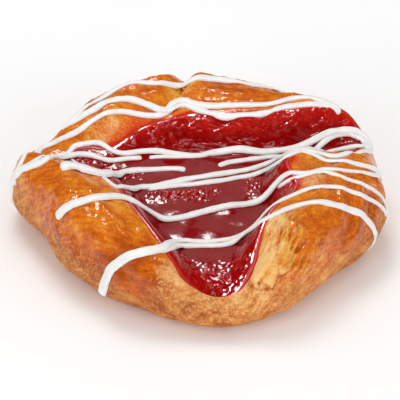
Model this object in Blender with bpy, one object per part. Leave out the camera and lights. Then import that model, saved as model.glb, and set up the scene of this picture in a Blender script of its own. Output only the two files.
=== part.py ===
"""A guava danish: a puffed pastry whose four flaps fold in round a star-shaped hollow of guava filling,
with thick strands of white icing drizzled across the top.

+Z is up, the pastry rests on z = 0 and its middle is over the origin. -Y is the front, where the longest
arm of the filling points. Sizes are in millimetres until point() turns them into metres.
"""

from math import atan2, cos, exp, hypot, pi, radians, sin

import bmesh
import bpy
from mathutils import Vector, noise
from mathutils.bvhtree import BVHTree

MM = 0.001

# The baked outline seen from above: a round of dough that bulges at the corners of the folded square.
BASE_RADIUS = 49.6
CORNERS = (  # direction in degrees, how far it bulges, how wide the bulge is in degrees
    (21.0, 7.3, 12.0),
    (350.0, 7.0, 20.0),
    (172.0, 9.0, 15.0),
    (287.0, 5.0, 32.0),
)

# Where the filling meets the dough, flap by flap: x, y and height. A flap starts at the end of an arm of
# the star and runs round to the end of the next arm. Its outer side starts at a direction in degrees, and
# its height and the place of its ridge, a share of the flap's width in from the outline, go from one value
# to another along it.
FLAPS = (
    {
        "name": "back right",
        "starts_at": 22.0,
        "height": (25.5, 31.2),
        "ridge": (0.48, 0.43),
        "columns": 20,
        "edge": ((50.5, 20.5, 19.0), (45.5, 26.0, 25.0), (37.0, 26.5, 27.5), (26.0, 24.5, 27.5),
                 (10.0, 23.0, 27.0), (-1.0, 24.0, 26.5)),
    },
    {
        "name": "back left",
        "starts_at": 93.5,
        "height": (32.2, 27.0),
        "ridge": (0.43, 0.49),
        "columns": 15,
        "edge": ((-9.5, 23.0, 25.0), (-18.5, 20.0, 23.5), (-27.0, 14.5, 20.5), (-36.0, 14.5, 20.5)),
    },
    {
        "name": "front left",
        "starts_at": 168.0,
        "height": (27.0, 28.5),
        "ridge": (0.49, 0.47),
        "columns": 26,
        "edge": ((-45.5, 9.5, 19.0), (-38.0, 2.5, 22.0), (-27.5, -7.0, 23.5), (-20.5, -22.0, 24.5),
                 (-14.5, -33.0, 23.5), (-9.0, -41.5, 20.0), (-4.0, -46.5, 14.5)),
    },
    {
        "name": "front right",
        "starts_at": 275.0,
        "height": (28.5, 25.0),
        "ridge": (0.47, 0.48),
        "columns": 28,
        "edge": ((4.0, -49.5, 9.3), (11.4, -48.7, 13.0), (15.8, -42.5, 17.5), (18.0, -34.0, 23.0),
                 (21.5, -25.5, 25.3), (29.0, -14.5, 26.0), (26.5, -2.0, 26.0), (31.0, 6.2, 25.0),
                 (41.5, 7.0, 22.0), (47.5, 12.5, 20.0)),
    },
)
HOLLOW_CENTRE = (1.0, 7.5)

# How the dough puffs: low where a flap is narrow, at an arm's end, and full where it is wide. Its outer
# side is widest a share of the way up, and below that it turns under to a foot.
RIM_HEIGHT = 11.5
FULL_WIDTH = 11.0
NARROW_WIDTH = 6.0
NARROW_RIDGE = 0.85
CREASES = (  # at the start of each flap: how deep, and how wide along the filling's edge
    (2.3, 5.0),
    (5.0, 2.6),
    (3.5, 5.0),
    (1.6, 5.0),
)
LEAST_CLIMB = 0.5
WIDEST_SHARE = 0.45
FOOT_INSET = 10.0
FOOT_SHARE = 0.8

# The uneven surface of the bake: broad lumps, and the edges of the dough's layers, which run along each
# flap. Both fade out near the filling and near the plate.
LUMP_HEIGHT = 0.9
LUMP_LENGTH = 13.0
LAYER_HEIGHT = 0.35
LAYER_SPACING = 7.5
LAYER_WANDER = 1.6
PLAIN_MARGIN = 6.0

# The filling: a pool that climbs its banks to the flaps' edges, with a rounded bead along them, on a floor
# of dough that keeps a small gap to it.
POOL_HEIGHT = 17.5
POOL_FALL_FROM = -5.0
POOL_FALL = 0.115
BANK_WIDTH = 9.0
BANK_SOFTNESS = 0.8
FILLING_DEPTH = 5.0
BEAD_LENGTH = 4.0
FILLING_LUMP = 0.7
FILLING_LUMP_LENGTH = 8.0
TOP_LIFT = 0.5
EDGE_GAP = 0.5
EDGE_LIFT = 0.8
UNDER_GAP = 0.9

# The icing. Each strand has its widths from start to end and the points it was piped over, from left to
# right, seen from above. Icing piped past the edge runs down the side, so the strands fall along lines that
# fan out from one point below the danish; the points are where those lines pass FAN_TOP.
FAN_TOP = 25.0
FAN_CENTRE = -40.0
STRANDS = (
    ((2, 1.9, 1.9, 2.4, 2.4, 1.8),
     ((-44.5, 22), (-38, 22), (-34.5, 23), (-30, 26), (-21.5, 32), (-14.5, 32), (-10.5, 32.5), (-6, 36),
      (-2.5, 34.5), (4.5, 35), (12.5, 35), (17.5, 36), (23, 38), (26.5, 35.5))),
    ((1.9, 2.2, 2.5, 2.6, 2.4, 2.4, 2),
     ((-43, 22), (-37.5, 21), (-32, 21.5), (-30, 22), (-25.5, 25), (-16, 25.5), (-11, 25), (-8.5, 28.5),
      (-7, 29), (-3.5, 26.5), (3, 25), (9.5, 25), (18, 25.5), (22, 26.5), (27, 29), (31, 29), (35.5, 27.5),
      (43, 26))),
    ((2, 2.2, 1.6, 2, 2.6, 2.2, 2.2, 2.2),
     ((-54.5, 9), (-54, 16), (-48, 18.2), (-38.5, 18), (-24, 22.5), (-13, 23.5), (-8, 26.5), (0, 24),
      (3.5, 22), (11.5, 21), (20, 22), (23.5, 24), (27.5, 25), (36.5, 26), (43, 25))),
    ((2.2, 1.8, 1.8, 1.7, 2, 2.4, 2.4, 2.2, 2.4, 2.4),
     ((-66, 1.5), (-61.5, 1), (-55, 3), (-50.5, 10), (-46, 12), (-44, 12.5), (-42, 15), (-38, 16),
      (-32.5, 16), (-29, 13.5), (-25, 13), (-18, 15.5), (-10, 16.5), (-0.5, 14.5), (6, 17), (28, 18),
      (44, 23), (47.5, 23.5), (55, 23.5), (57, 22.5), (58, 20.5), (57.5, 16.5))),
    ((1.4, 1.4),
     ((-57, 0.5), (-49, 0), (-46, 2))),
    ((2.6, 2.8, 2.6, 2.2, 1.9, 1.6),
     ((-77.5, 2), (-76, 4), (-70, 4), (-67.5, 3.5), (-61, 0.5), (-57.5, -0.5), (-46, -1.5), (-45, 3),
      (-44.5, 10.5), (-37.5, 12), (-32, 10), (-28, 10.5), (-20, 13))),
    ((1.6, 1.6),
     ((-17.5, 13.5), (-10.5, 15), (-1.5, 14))),
    ((3.4, 3.2, 2.6, 2.4, 2.3),
     ((-40.5, -6.5), (-36.5, -5.5), (-31, -7), (-28.5, -5.5), (-27.5, 3), (-24, 5.5), (-18, 6), (-12, 7),
      (-5, 6.5))),
    ((1, 1.6),
     ((-43, 10), (-38, 1), (-34, -4.5))),
    ((1.6, 2.4, 2.4, 2.2, 2.2, 2, 2, 2.2),
     ((-29.5, -7.5), (-25.5, -13), (-24, -12.5), (-21, -4.5), (-15, -3.5), (-4.5, 1), (3.5, 2.5), (11, 5.5),
      (17.5, 7), (22, 9), (26, 9.5), (28, 5), (34, 8), (42, 20.5), (47, 23), (51, 23), (55.5, 22),
      (56, 19.5), (55.5, 14.5))),
    ((2, 2.2, 2, 2, 1.8, 2, 2.2),
     ((-17.5, -5), (-15, -5), (-7, -2.5), (5.5, -1), (12, 2), (17.5, 3), (22, 4), (24.5, 0.5), (29.5, 4),
      (38, 8.5), (43.5, 15.5), (45.5, 17), (50, 17.5), (54.5, 17), (56.5, 15))),
    ((2, 2.2, 2.2, 1.9, 1.9, 2.2),
     ((6.5, 8.5), (11, 11.5), (21, 14), (26.5, 14), (31, 6), (36, 3), (38.5, 0.5), (43.5, 2), (51.5, 10),
      (55, 12.5), (58, 15))),
    ((1.6, 1.6, 1.8, 2.2),
     ((30, 4.5), (34.5, 2), (36.5, -1.5), (39.5, -2), (46.5, -3), (56.5, -1), (59, -1.5))),
    ((3, 3.1, 3, 2.4, 2.3, 2.3, 2.4, 2, 1.7, 1.7, 2),
     ((-45, -25), (-29.5, -23), (-23, -20), (-18.5, -20.5), (-11.5, -21), (-7.5, -20.5), (-3.5, -19.5),
      (3.5, -16), (17.5, -12.5), (22.5, -10.5), (25, -7.5), (28.5, -8.5), (32.5, -8.5), (36.5, -6.5),
      (40, -7.5), (50, -6), (54, -4.5), (58.5, -1.5))),
    ((1.5, 1.6, 1.7, 1.9),
     ((24.5, -9.5), (28, -10.5), (36, -8), (39.5, -10.5), (47.5, -12), (58, -10), (66.5, -12.5),
      (74, -13))),
    ((2.8, 3, 2.9, 1.7, 1.6, 1.6, 1.7, 1.7, 1.8),
     ((-42, -58.5), (-37.5, -56), (-33.5, -52.5), (-26.5, -48), (-14.5, -44), (-10.5, -41), (-9, -34),
      (-5.5, -32), (2, -32.5), (15, -30), (21, -23.5), (27.5, -19), (32, -16.5), (38.5, -16), (48, -17),
      (55.5, -15.5), (67.5, -15))),
    ((2.2, 2, 1.9, 1.7, 2.2, 2.3, 1.8, 1.8),
     ((-12.5, -43.5), (-9.5, -41.5), (-6.5, -35.5), (7.5, -34.5), (15, -32), (20, -29.5), (29.5, -24.5),
      (41, -24), (46.5, -23.5), (54, -23.5), (64, -25), (74.5, -24.5))),
)
STRAND_LOOK = 0.75
STRAND_STEP = 4.8
STRAND_SIDES = 5
STRAND_TURN = 0.25
STRAND_ROUNDNESS = 0.65
STRAND_SINK = 0.35
STRAND_CLEAR = 0.4

# Rings of the pastry's mesh, from the middle of the hollow over the flap and under to the middle of the
# base, and the points per knot of the filling's edge: close for the sections, fewer for distances to it.
FLOOR_RINGS = 5
INNER_RINGS = 5
OUTER_RINGS = 10
UNDER_RINGS = 4
BASE_RINGS = 2
FINE_STEPS = 16
COARSE_STEPS = 6


def outline(direction):
    """The point of the outline in a direction given in degrees."""
    radius = BASE_RADIUS
    for at, bulge, spread in CORNERS:
        off = (direction - at + 180) % 360 - 180
        radius += bulge * exp(-((off / spread) ** 2))
    return (radius * cos(radians(direction)), radius * sin(radians(direction)))


def smooth(t):
    """0 to 1 with a soft start and end."""
    t = min(1.0, max(0.0, t))
    return t * t * (3 - 2 * t)


def between(ends, share):
    """The value a share of the way from the first of two to the second."""
    return ends[0] + (ends[1] - ends[0]) * share


def through(a, b, c, d, t):
    """The smooth curve from b to c, with a before them and d after them."""
    return tuple(
        0.5 * (2 * q + (r - p) * t + (2 * p - 5 * q + 4 * r - s) * t**2 + (3 * q - p - 3 * r + s) * t**3)
        for p, q, r, s in zip(a, b, c, d)
    )


def edge_of(flap_number, steps):
    """The filling's edge along one flap as close points, its last point being the next flap's first."""
    knots = [knot for flap in FLAPS for knot in flap["edge"]]
    first = sum(len(flap["edge"]) for flap in FLAPS[:flap_number])
    fine = []
    for row in range(first, first + len(FLAPS[flap_number]["edge"])):
        near = [knots[(row + step) % len(knots)] for step in (-1, 0, 1, 2)]
        fine += [through(*near, t / steps) for t in range(steps)]
    fine.append(knots[(first + len(FLAPS[flap_number]["edge"])) % len(knots)])
    return fine


def along(points, share):
    """The point at a share of a line's length, and that length, measured in plan."""
    lengths = [hypot(b[0] - a[0], b[1] - a[1]) for a, b in zip(points, points[1:])]
    left = share * sum(lengths)
    for length, a, b in zip(lengths, points, points[1:]):
        if left <= length:
            t = left / length if length else 0.0
            return tuple(p + (q - p) * t for p, q in zip(a, b)), sum(lengths)
        left -= length
    return points[-1], sum(lengths)


def columns():
    """One section for each column of the mesh: where it meets the filling, the outline, and its ridge."""
    made = []
    for number, flap in enumerate(FLAPS):
        following = FLAPS[(number + 1) % len(FLAPS)]
        edge = edge_of(number, FINE_STEPS)
        turn = (following["starts_at"] - flap["starts_at"]) % 360
        for step in range(flap["columns"]):
            share = step / flap["columns"]
            lip, length = along(edge, share)
            rim = outline(flap["starts_at"] + turn * share)
            width = hypot(rim[0] - lip[0], rim[1] - lip[1])
            height = between(flap["height"], share)
            height = RIM_HEIGHT + (height - RIM_HEIGHT) * (1 - exp(-((width / FULL_WIDTH) ** 2)))
            for (depth, spread), away in (
                (CREASES[number], share * length),
                (CREASES[(number + 1) % len(FLAPS)], (1 - share) * length),
            ):
                height -= depth * exp(-((away / spread) ** 2))
            height = max(height, lip[2] + LEAST_CLIMB)
            narrow = exp(-((width / NARROW_WIDTH) ** 2))
            ridge = width * between((between(flap["ridge"], share), NARROW_RIDGE), narrow)
            made.append({"lip": lip, "rim": rim, "height": height, "ridge": ridge, "width": width})
    for number, column in enumerate(made):
        before, after = made[number - 1]["lip"], made[(number + 1) % len(made)]["lip"]
        along_x, along_y = after[0] - before[0], after[1] - before[1]
        column["inward"] = (-along_y / hypot(along_x, along_y), along_x / hypot(along_x, along_y))
    return made


EDGE = [place for number in range(len(FLAPS)) for place in edge_of(number, COARSE_STEPS)[:-1]]


def bank(x, y):
    """How far a point inside the hollow is from the filling's edge, and that edge's height there."""
    nearest, heights, weights = 1e9, 0.0, 0.0
    for start, end in zip(EDGE, EDGE[1:] + EDGE[:1]):
        length = hypot(end[0] - start[0], end[1] - start[1])
        reach = ((x - start[0]) * (end[0] - start[0]) + (y - start[1]) * (end[1] - start[1])) / length**2
        ex, ey, ez = (between(ends, min(1.0, max(0.0, reach))) for ends in zip(start, end))
        away = hypot(x - ex, y - ey)
        nearest = min(nearest, away)
        weight = length / (away**2 + BANK_SOFTNESS**2) ** 2
        heights += weight * ez
        weights += weight
    return nearest, heights / weights


def filling_top(x, y):
    """Height of the filling: a pool that climbs to the flaps' edges and slopes down to the front."""
    away, edge_height = bank(x, y)
    pool = POOL_HEIGHT - POOL_FALL * max(0.0, POOL_FALL_FROM - y)
    lump = FILLING_LUMP * noise.noise(Vector((x, y, 0.0)) / FILLING_LUMP_LENGTH)
    lump *= smooth(away / BEAD_LENGTH)
    return pool + (edge_height - pool) * (1 - smooth(away / BANK_WIDTH)) + lump, away


def floor(x, y):
    """Height of the dough under the filling."""
    top, away = filling_top(x, y)
    return top - FILLING_DEPTH * (1 - exp(-away / BEAD_LENGTH))


def relief(x, y, z, down):
    """How far the crust stands out at a point that lies this far down over the flap from its ridge."""
    lump = LUMP_HEIGHT * noise.noise(Vector((x, y, z)) / LUMP_LENGTH)
    wander = LAYER_WANDER * noise.noise(Vector((x, y, 0.0)) / LUMP_LENGTH)
    return lump + LAYER_HEIGHT * sin(2 * pi * down / LAYER_SPACING + wander)


def pastry_point(column, ring):
    """A point of the pastry's surface, in millimetres, for one column and one ring of the mesh."""
    lip, rim = column["lip"], column["rim"]
    width, height, ridge = column["width"], column["height"], column["ridge"]
    widest = WIDEST_SHARE * height
    foot = min(FOOT_INSET, FOOT_SHARE * height)

    if ring <= FLOOR_RINGS:
        t = sin(ring / FLOOR_RINGS * pi / 2)
        x = HOLLOW_CENTRE[0] + (lip[0] - HOLLOW_CENTRE[0]) * t
        y = HOLLOW_CENTRE[1] + (lip[1] - HOLLOW_CENTRE[1]) * t
        return (x, y, lip[2] if ring == FLOOR_RINGS else floor(x, y))
    ring -= FLOOR_RINGS
    if ring <= INNER_RINGS:
        climb = ring / INNER_RINGS
        inward = width - (width - ridge) * climb
        z = lip[2] + (height - lip[2]) * sin(climb * pi / 2)
    elif ring <= INNER_RINGS + OUTER_RINGS:
        turn = (1 - (ring - INNER_RINGS) / OUTER_RINGS) * pi / 2
        inward = ridge * (1 - cos(turn))
        z = widest + (height - widest) * sin(turn)
    else:
        ring -= INNER_RINGS + OUTER_RINGS
        if ring <= UNDER_RINGS:
            turn = ring / UNDER_RINGS * pi / 2
            inward = foot * (1 - cos(turn))
            z = widest * (1 - sin(turn))
        else:
            t = 1 - (ring - UNDER_RINGS) / BASE_RINGS
            x, y, _ = across(lip, rim, width, foot, 0.0)
            return (x * t, y * t, 0.0)
    x, y, z = across(lip, rim, width, inward, z)
    core = across(lip, rim, width, max(ridge, foot), widest)
    reach = hypot(x - core[0], y - core[1], z - core[2])
    out = relief(x, y, z, hypot(width - inward, height - z))
    out *= smooth(hypot(x - lip[0], y - lip[1]) / PLAIN_MARGIN) * smooth(z / PLAIN_MARGIN)
    return tuple(p + (p - q) / reach * out for p, q in zip((x, y, z), core))


def across(lip, rim, width, inward, z):
    """The point a distance inward from the outline, on the line from there to the filling's edge."""
    share = inward / width
    return (rim[0] + (lip[0] - rim[0]) * share, rim[1] + (lip[1] - rim[1]) * share, z)


def point(place):
    """Millimetres to a vector in metres."""
    return Vector(place) * MM


def reshaped_sphere(name, column_list, ring_count, place):
    """A mesh made from a sphere's grid: place(column, ring) says where each of its points goes."""
    mesh = bpy.data.meshes.new(name)
    grid = bmesh.new()
    bmesh.ops.create_uvsphere(grid, u_segments=len(column_list), v_segments=ring_count, radius=1.0)
    for vertex in grid.verts:
        ring = round(atan2(hypot(vertex.co.x, vertex.co.y), vertex.co.z) / pi * ring_count)
        turn = atan2(vertex.co.y, vertex.co.x) / (2 * pi) % 1
        column = column_list[round(turn * len(column_list)) % len(column_list)]
        vertex.co = point(place(column, ring))
    if grid.calc_volume(signed=True) < 0:
        bmesh.ops.reverse_faces(grid, faces=grid.faces)
    bmesh.ops.triangulate(grid, faces=grid.faces, quad_method="SHORT_EDGE")
    grid.to_mesh(mesh)
    grid.free()
    return mesh


def painted(name, colour, roughness):
    """A plain food finish."""
    material = bpy.data.materials.new(name)
    material.use_nodes = True
    shader = material.node_tree.nodes["Principled BSDF"]
    shader.inputs["Base Color"].default_value = (*colour, 1.0)
    shader.inputs["Roughness"].default_value = roughness
    shader.inputs["Metallic"].default_value = 0.0
    return material


def placed(name, mesh, collection, material):
    """An object for a mesh, in a collection, shaded smooth."""
    mesh.materials.append(material)
    mesh.shade_smooth()
    made = bpy.data.objects.new(name, mesh)
    collection.objects.link(made)
    return made


def make_pastry(collection):
    """The baked dough, one closed solid."""
    rings = FLOOR_RINGS + INNER_RINGS + OUTER_RINGS + UNDER_RINGS + BASE_RINGS
    mesh = reshaped_sphere("pastry", columns(), rings, pastry_point)
    return placed("pastry", mesh, collection, painted("baked_dough", (0.60, 0.27, 0.07), 0.35))


def filling_point(column, ring):
    """A point of the filling: its top from the middle out to the edge, then its underside back again."""
    lip = column["lip"]
    if ring == FLOOR_RINGS:
        x = lip[0] + column["inward"][0] * EDGE_GAP
        y = lip[1] + column["inward"][1] * EDGE_GAP
        return (x, y, floor(x, y) + EDGE_LIFT)
    t = sin(ring / FLOOR_RINGS * pi / 2)
    x = HOLLOW_CENTRE[0] + (lip[0] - HOLLOW_CENTRE[0]) * t
    y = HOLLOW_CENTRE[1] + (lip[1] - HOLLOW_CENTRE[1]) * t
    if ring < FLOOR_RINGS:
        return (x, y, filling_top(x, y)[0] + TOP_LIFT)
    return (x, y, floor(x, y) + UNDER_GAP)


def make_filling(collection):
    """The pool of guava filling, one closed solid that lies on the dough."""
    mesh = reshaped_sphere("guava_filling", columns(), 2 * FLOOR_RINGS, filling_point)
    return placed("guava_filling", mesh, collection, painted("guava", (0.35, 0.01, 0.01), 0.2))


def piped_over(points):
    """Close, even steps along the smooth line through a strand's points, seen from above."""
    ends = [points[0], *points, points[-1]]
    line = []
    for row in range(len(points) - 1):
        line += [through(*ends[row:row + 4], t / COARSE_STEPS) for t in range(COARSE_STEPS)]
    line.append(points[-1])
    count = round(along(line, 0.0)[1] / STRAND_LOOK)
    return [along(line, step / count)[0] for step in range(count + 1)]


def landing(x, y, surfaces):
    """Where icing piped over x, y comes to rest, the way the surface faces there, and what it lies on.

    None if it misses the danish.
    """
    source = Vector((x, y, FAN_TOP)) + Vector((x, y, FAN_TOP - FAN_CENTRE))
    direction = Vector((-x, -y, FAN_CENTRE - FAN_TOP)).normalized()
    nearest = None
    for name, surface in surfaces.items():
        place, facing, _, away = surface.ray_cast(source * MM, direction)
        if place is not None and (nearest is None or away < nearest[3]):
            nearest = (place / MM, facing, name, away)
    return nearest and nearest[:3]


def runs_of(strand, surfaces):
    """The unbroken lengths of one strand, each on one body and clear of the other, with their widths."""
    widths, points = strand
    over = piped_over(points)
    runs = {name: [[]] for name in surfaces}
    for step, (x, y) in enumerate(over):
        place = step / (len(over) - 1) * (len(widths) - 1)
        nearest = min(int(place), len(widths) - 2)
        width = between(widths[nearest:nearest + 2], place - nearest)
        landed = landing(x, y, surfaces)
        clear = landed and bank(landed[0].x, landed[0].y)[0] > width / 2 + STRAND_CLEAR
        for host, found in runs.items():
            if clear and host == landed[2]:
                found[-1].append((landed[0], landed[1], width))
            elif found[-1]:
                found.append([])
    return {host: [thinned(run) for run in found if len(run) > 2] for host, found in runs.items()}


def thinned(run):
    """Only as many of a run's points as its strand needs, with both its ends."""
    count = max(1, round(STRAND_LOOK * (len(run) - 1) / STRAND_STEP))
    return [run[round(step / count * (len(run) - 1))] for step in range(count + 1)]


def make_strand(run, collection):
    """One length of icing: a rounded strand that lies on the surface, a little sunk into it."""
    def strand_point(side, ring):
        step = min(max(ring - 1, 0), len(run) - 1)
        place, facing, width = run[step]
        ahead = (run[min(step + 1, len(run) - 1)][0] - run[max(step - 1, 0)][0]).normalized()
        across_it = facing.cross(ahead).normalized()
        upward = ahead.cross(across_it)
        middle = place + upward * (STRAND_ROUNDNESS * width / 2 - STRAND_SINK)
        if ring == 0 or ring == len(run) + 1:
            return middle + ahead * (width / 3 if ring else -width / 3)
        return middle + (across_it * cos(side) + upward * STRAND_ROUNDNESS * sin(side)) * width / 2

    sides = [2 * pi * (side / STRAND_SIDES + STRAND_TURN) for side in range(STRAND_SIDES)]
    mesh = reshaped_sphere("icing", sides, len(run) + 1, strand_point)
    collection.objects.link(bpy.data.objects.new("icing", mesh))


def apply_modifiers(body):
    """Turn what the body's modifiers make of it into its own shape."""
    shape = bpy.data.meshes.new_from_object(body.evaluated_get(bpy.context.evaluated_depsgraph_get()))
    body.modifiers.clear()
    body.data = shape


def keep_outer_shell(body):
    """Drop every loose scrap and fill every sealed hollow, so that one closed surface is left."""
    grid = bmesh.new()
    grid.from_mesh(body.data)
    bmesh.ops.triangulate(grid, faces=grid.faces)
    left, shells = set(grid.faces), []
    while left:
        front = [left.pop()]
        shell = list(front)
        while front:
            near = {face for known in front for edge in known.edges for face in edge.link_faces} & left
            left -= near
            shell += near
            front = near
        shells.append(shell)
    shells.sort(key=len)
    bmesh.ops.delete(grid, geom=[face for shell in shells[:-1] for face in shell], context="FACES")
    grid.to_mesh(body.data)
    grid.free()


def fuse(body, strands):
    """Make the strands one with the body they lie on, as one closed solid."""
    union = body.modifiers.new("icing", "BOOLEAN")
    union.operation = "UNION"
    union.operand_type = "COLLECTION"
    union.collection = strands
    union.solver = "MANIFOLD"
    apply_modifiers(body)
    for strand in list(strands.objects):
        bpy.data.objects.remove(strand)
    bpy.data.collections.remove(strands)
    keep_outer_shell(body)


def surface_of(body):
    """The body's surface, ready to be hit by a falling strand."""
    places = [vertex.co for vertex in body.data.vertices]
    return BVHTree.FromPolygons(places, [face.vertices for face in body.data.polygons])


def pipe_icing(bodies):
    """Drizzle every strand over the danish and fuse it to the dough and to the filling it crosses."""
    surfaces = {body.name: surface_of(body) for body in bodies}
    piped = {body.name: bpy.data.collections.new("icing on " + body.name) for body in bodies}
    for strand in STRANDS:
        for host, runs in runs_of(strand, surfaces).items():
            for run in runs:
                make_strand(run, piped[host])
    for body in bodies:
        bpy.context.scene.collection.children.link(piped[body.name])
        fuse(body, piped[body.name])


def clear_scene():
    """Start from nothing."""
    for thing in list(bpy.data.objects):
        bpy.data.objects.remove(thing)


def main():
    clear_scene()
    danish = bpy.data.collections.new("guava_danish")
    bpy.context.scene.collection.children.link(danish)
    bodies = (make_pastry(danish), make_filling(danish))
    pipe_icing(bodies)


main()
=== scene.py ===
# %% [markdown]
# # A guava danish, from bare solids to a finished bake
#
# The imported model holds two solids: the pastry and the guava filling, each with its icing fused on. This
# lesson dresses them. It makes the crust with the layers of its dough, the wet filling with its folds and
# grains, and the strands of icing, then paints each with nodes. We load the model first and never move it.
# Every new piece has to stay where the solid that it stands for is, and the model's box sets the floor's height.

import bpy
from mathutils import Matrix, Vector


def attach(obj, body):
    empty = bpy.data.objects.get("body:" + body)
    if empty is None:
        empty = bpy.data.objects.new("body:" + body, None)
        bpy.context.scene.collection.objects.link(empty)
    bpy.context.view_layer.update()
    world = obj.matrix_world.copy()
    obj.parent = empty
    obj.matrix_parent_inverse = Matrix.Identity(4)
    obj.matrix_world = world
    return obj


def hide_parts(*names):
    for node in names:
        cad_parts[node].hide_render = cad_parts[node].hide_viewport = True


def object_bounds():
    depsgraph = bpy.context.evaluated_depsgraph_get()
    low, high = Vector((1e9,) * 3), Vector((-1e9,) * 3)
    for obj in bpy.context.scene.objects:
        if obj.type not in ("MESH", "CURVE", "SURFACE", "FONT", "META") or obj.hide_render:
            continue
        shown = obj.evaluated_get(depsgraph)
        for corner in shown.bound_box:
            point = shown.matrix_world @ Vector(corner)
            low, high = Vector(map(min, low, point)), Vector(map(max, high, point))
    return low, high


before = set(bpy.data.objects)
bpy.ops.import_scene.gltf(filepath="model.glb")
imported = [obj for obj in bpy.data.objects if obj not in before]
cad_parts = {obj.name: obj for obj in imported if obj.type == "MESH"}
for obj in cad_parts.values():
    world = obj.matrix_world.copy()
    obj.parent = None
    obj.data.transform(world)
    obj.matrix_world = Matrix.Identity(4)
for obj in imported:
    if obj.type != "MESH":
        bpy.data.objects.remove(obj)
cad_box = [list(corner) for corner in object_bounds()]
print("the packed model spans", cad_box)

# %% The tools used below
from math import cos, pi, radians, sin

import bmesh
import bpy
import numpy as np
from mathutils import Vector, noise
from mathutils.bvhtree import BVHTree

MM = 0.001

# %% [markdown]
# ## The camera
#
# The danish is seen from the front and from above, by about 35 degrees, through a long lens that keeps the
# far side nearly as large as the near one. A camera could be placed by hand until the picture looks right.
# Working its place out from an angle and a distance is better, because each number then says one thing.

# %% Place the camera
LOOK_AT = Vector((0.0, 0.0, 10.5)) * MM
LOOK_DOWN = radians(35)
CAMERA_DISTANCE = 650 * MM
LENS = 191.9

lens = bpy.data.cameras.new("photo_camera")
lens.lens = LENS
lens.clip_start = 0.01
camera = bpy.data.objects.new("photo_camera", lens)
bpy.context.scene.collection.objects.link(camera)
toward_camera = Vector((0, -cos(LOOK_DOWN), sin(LOOK_DOWN)))
camera.location = LOOK_AT + toward_camera * CAMERA_DISTANCE
camera.rotation_euler = toward_camera.to_track_quat("Z", "Y").to_euler()
bpy.context.scene.camera = camera
print("the camera stands at", [round(part, 3) for part in camera.location])

# %% [markdown]
# ## The studio
#
# A bake looks fresh when its glaze and its filling shine. Shine is a picture of the lights, so each light has
# one job. Wide soft ones light the colours but leave no image in the gloss. A small bright one is seen only
# in the gloss, as sparkles. The wet filling mirrors more than the crust does, so it has cards of its own,
# which Blender calls light linking: small ones are the glints on its grains, one overhead and one in front
# lie as pale patches on its folds, and a wide dim one behind is the haze on its level parts. The floor and
# the air are pale.

# %% Light it and give it a floor
bpy.context.scene.view_settings.view_transform = "Standard"


def soft_light(name, place, size, strength, lights=True, shines=True):
    """A soft light, in metres, that faces the danish; strength is how bright its face looks.

    One that lights gives the pieces their light and shade, and one that shines is seen in their gloss. The
    light is given back, so that it can be linked to the pieces it is for.
    """
    made = bpy.data.lights.new(name, "AREA")
    made.shape = "RECTANGLE"
    made.size, made.size_y = size
    made.energy = strength * pi * size[0] * size[1]
    lamp = bpy.data.objects.new(name, made)
    lamp.location = place
    lamp.rotation_euler = (Vector(place) - LOOK_AT).to_track_quat("Z", "Y").to_euler()
    lamp.visible_diffuse = lights
    lamp.visible_glossy = shines
    bpy.context.scene.collection.objects.link(lamp)
    return lamp


KEY_PLACE = (-0.125, 0.306, 0.79)
soft_light("key_light", KEY_PLACE, (0.36, 0.36), 5.0, shines=False)
soft_light("left_fill", (-0.8, -0.9, 0.5), (0.8, 0.8), 2.3, shines=False)
soft_light("right_fill", (0.8, -0.9, 0.5), (0.8, 0.8), 2.3, shines=False)
soft_light("sparkle_light", KEY_PLACE, (0.15, 0.15), 100.0, lights=False)
WET_CARDS = (
    soft_light("glint_light", KEY_PLACE, (0.18, 0.18), 260.0, lights=False),
    soft_light("left_glint", (-0.55, 0.0, 0.62), (0.14, 0.14), 150.0, lights=False),
    soft_light("overhead_card", (0.0, -0.22, 0.82), (0.24, 0.22), 3.6, lights=False),
    soft_light("front_card", (0.0, -0.60, 0.62), (0.34, 0.16), 4.5, lights=False),
    soft_light("haze_card", (0.0, 1.05, 0.85), (1.2, 0.75), 0.66, lights=False),
)

AIR_BRIGHTNESS = 0.60
world = bpy.data.worlds.new("pale_studio")
world.use_nodes = True
world.node_tree.nodes["Background"].inputs["Color"].default_value = (1.0, 1.0, 1.0, 1.0)
world.node_tree.nodes["Background"].inputs["Strength"].default_value = AIR_BRIGHTNESS
world.cycles_visibility.glossy = False
bpy.context.scene.world = world

FLOOR_SIZE = 4.0  # metres
BELOW_THE_BASE = 0.05 * MM  # so that the floor and the flat base aren't in one plane
floor_height = cad_box[0][2] - BELOW_THE_BASE
bpy.ops.mesh.primitive_plane_add(size=FLOOR_SIZE, location=(0, 0, floor_height))
floor_board = bpy.context.object
floor_board.name = "floor_board"
print("the filling has", len(WET_CARDS), "lights of its own")

# %% [markdown]
# ## Node helpers
#
# Each finish below is a small graph of nodes. Writing each link out takes a page for one material, so one
# class carries the wiring: it starts a material, and each of its short methods adds a node and joins its
# inputs.

# %% Helpers for materials


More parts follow.
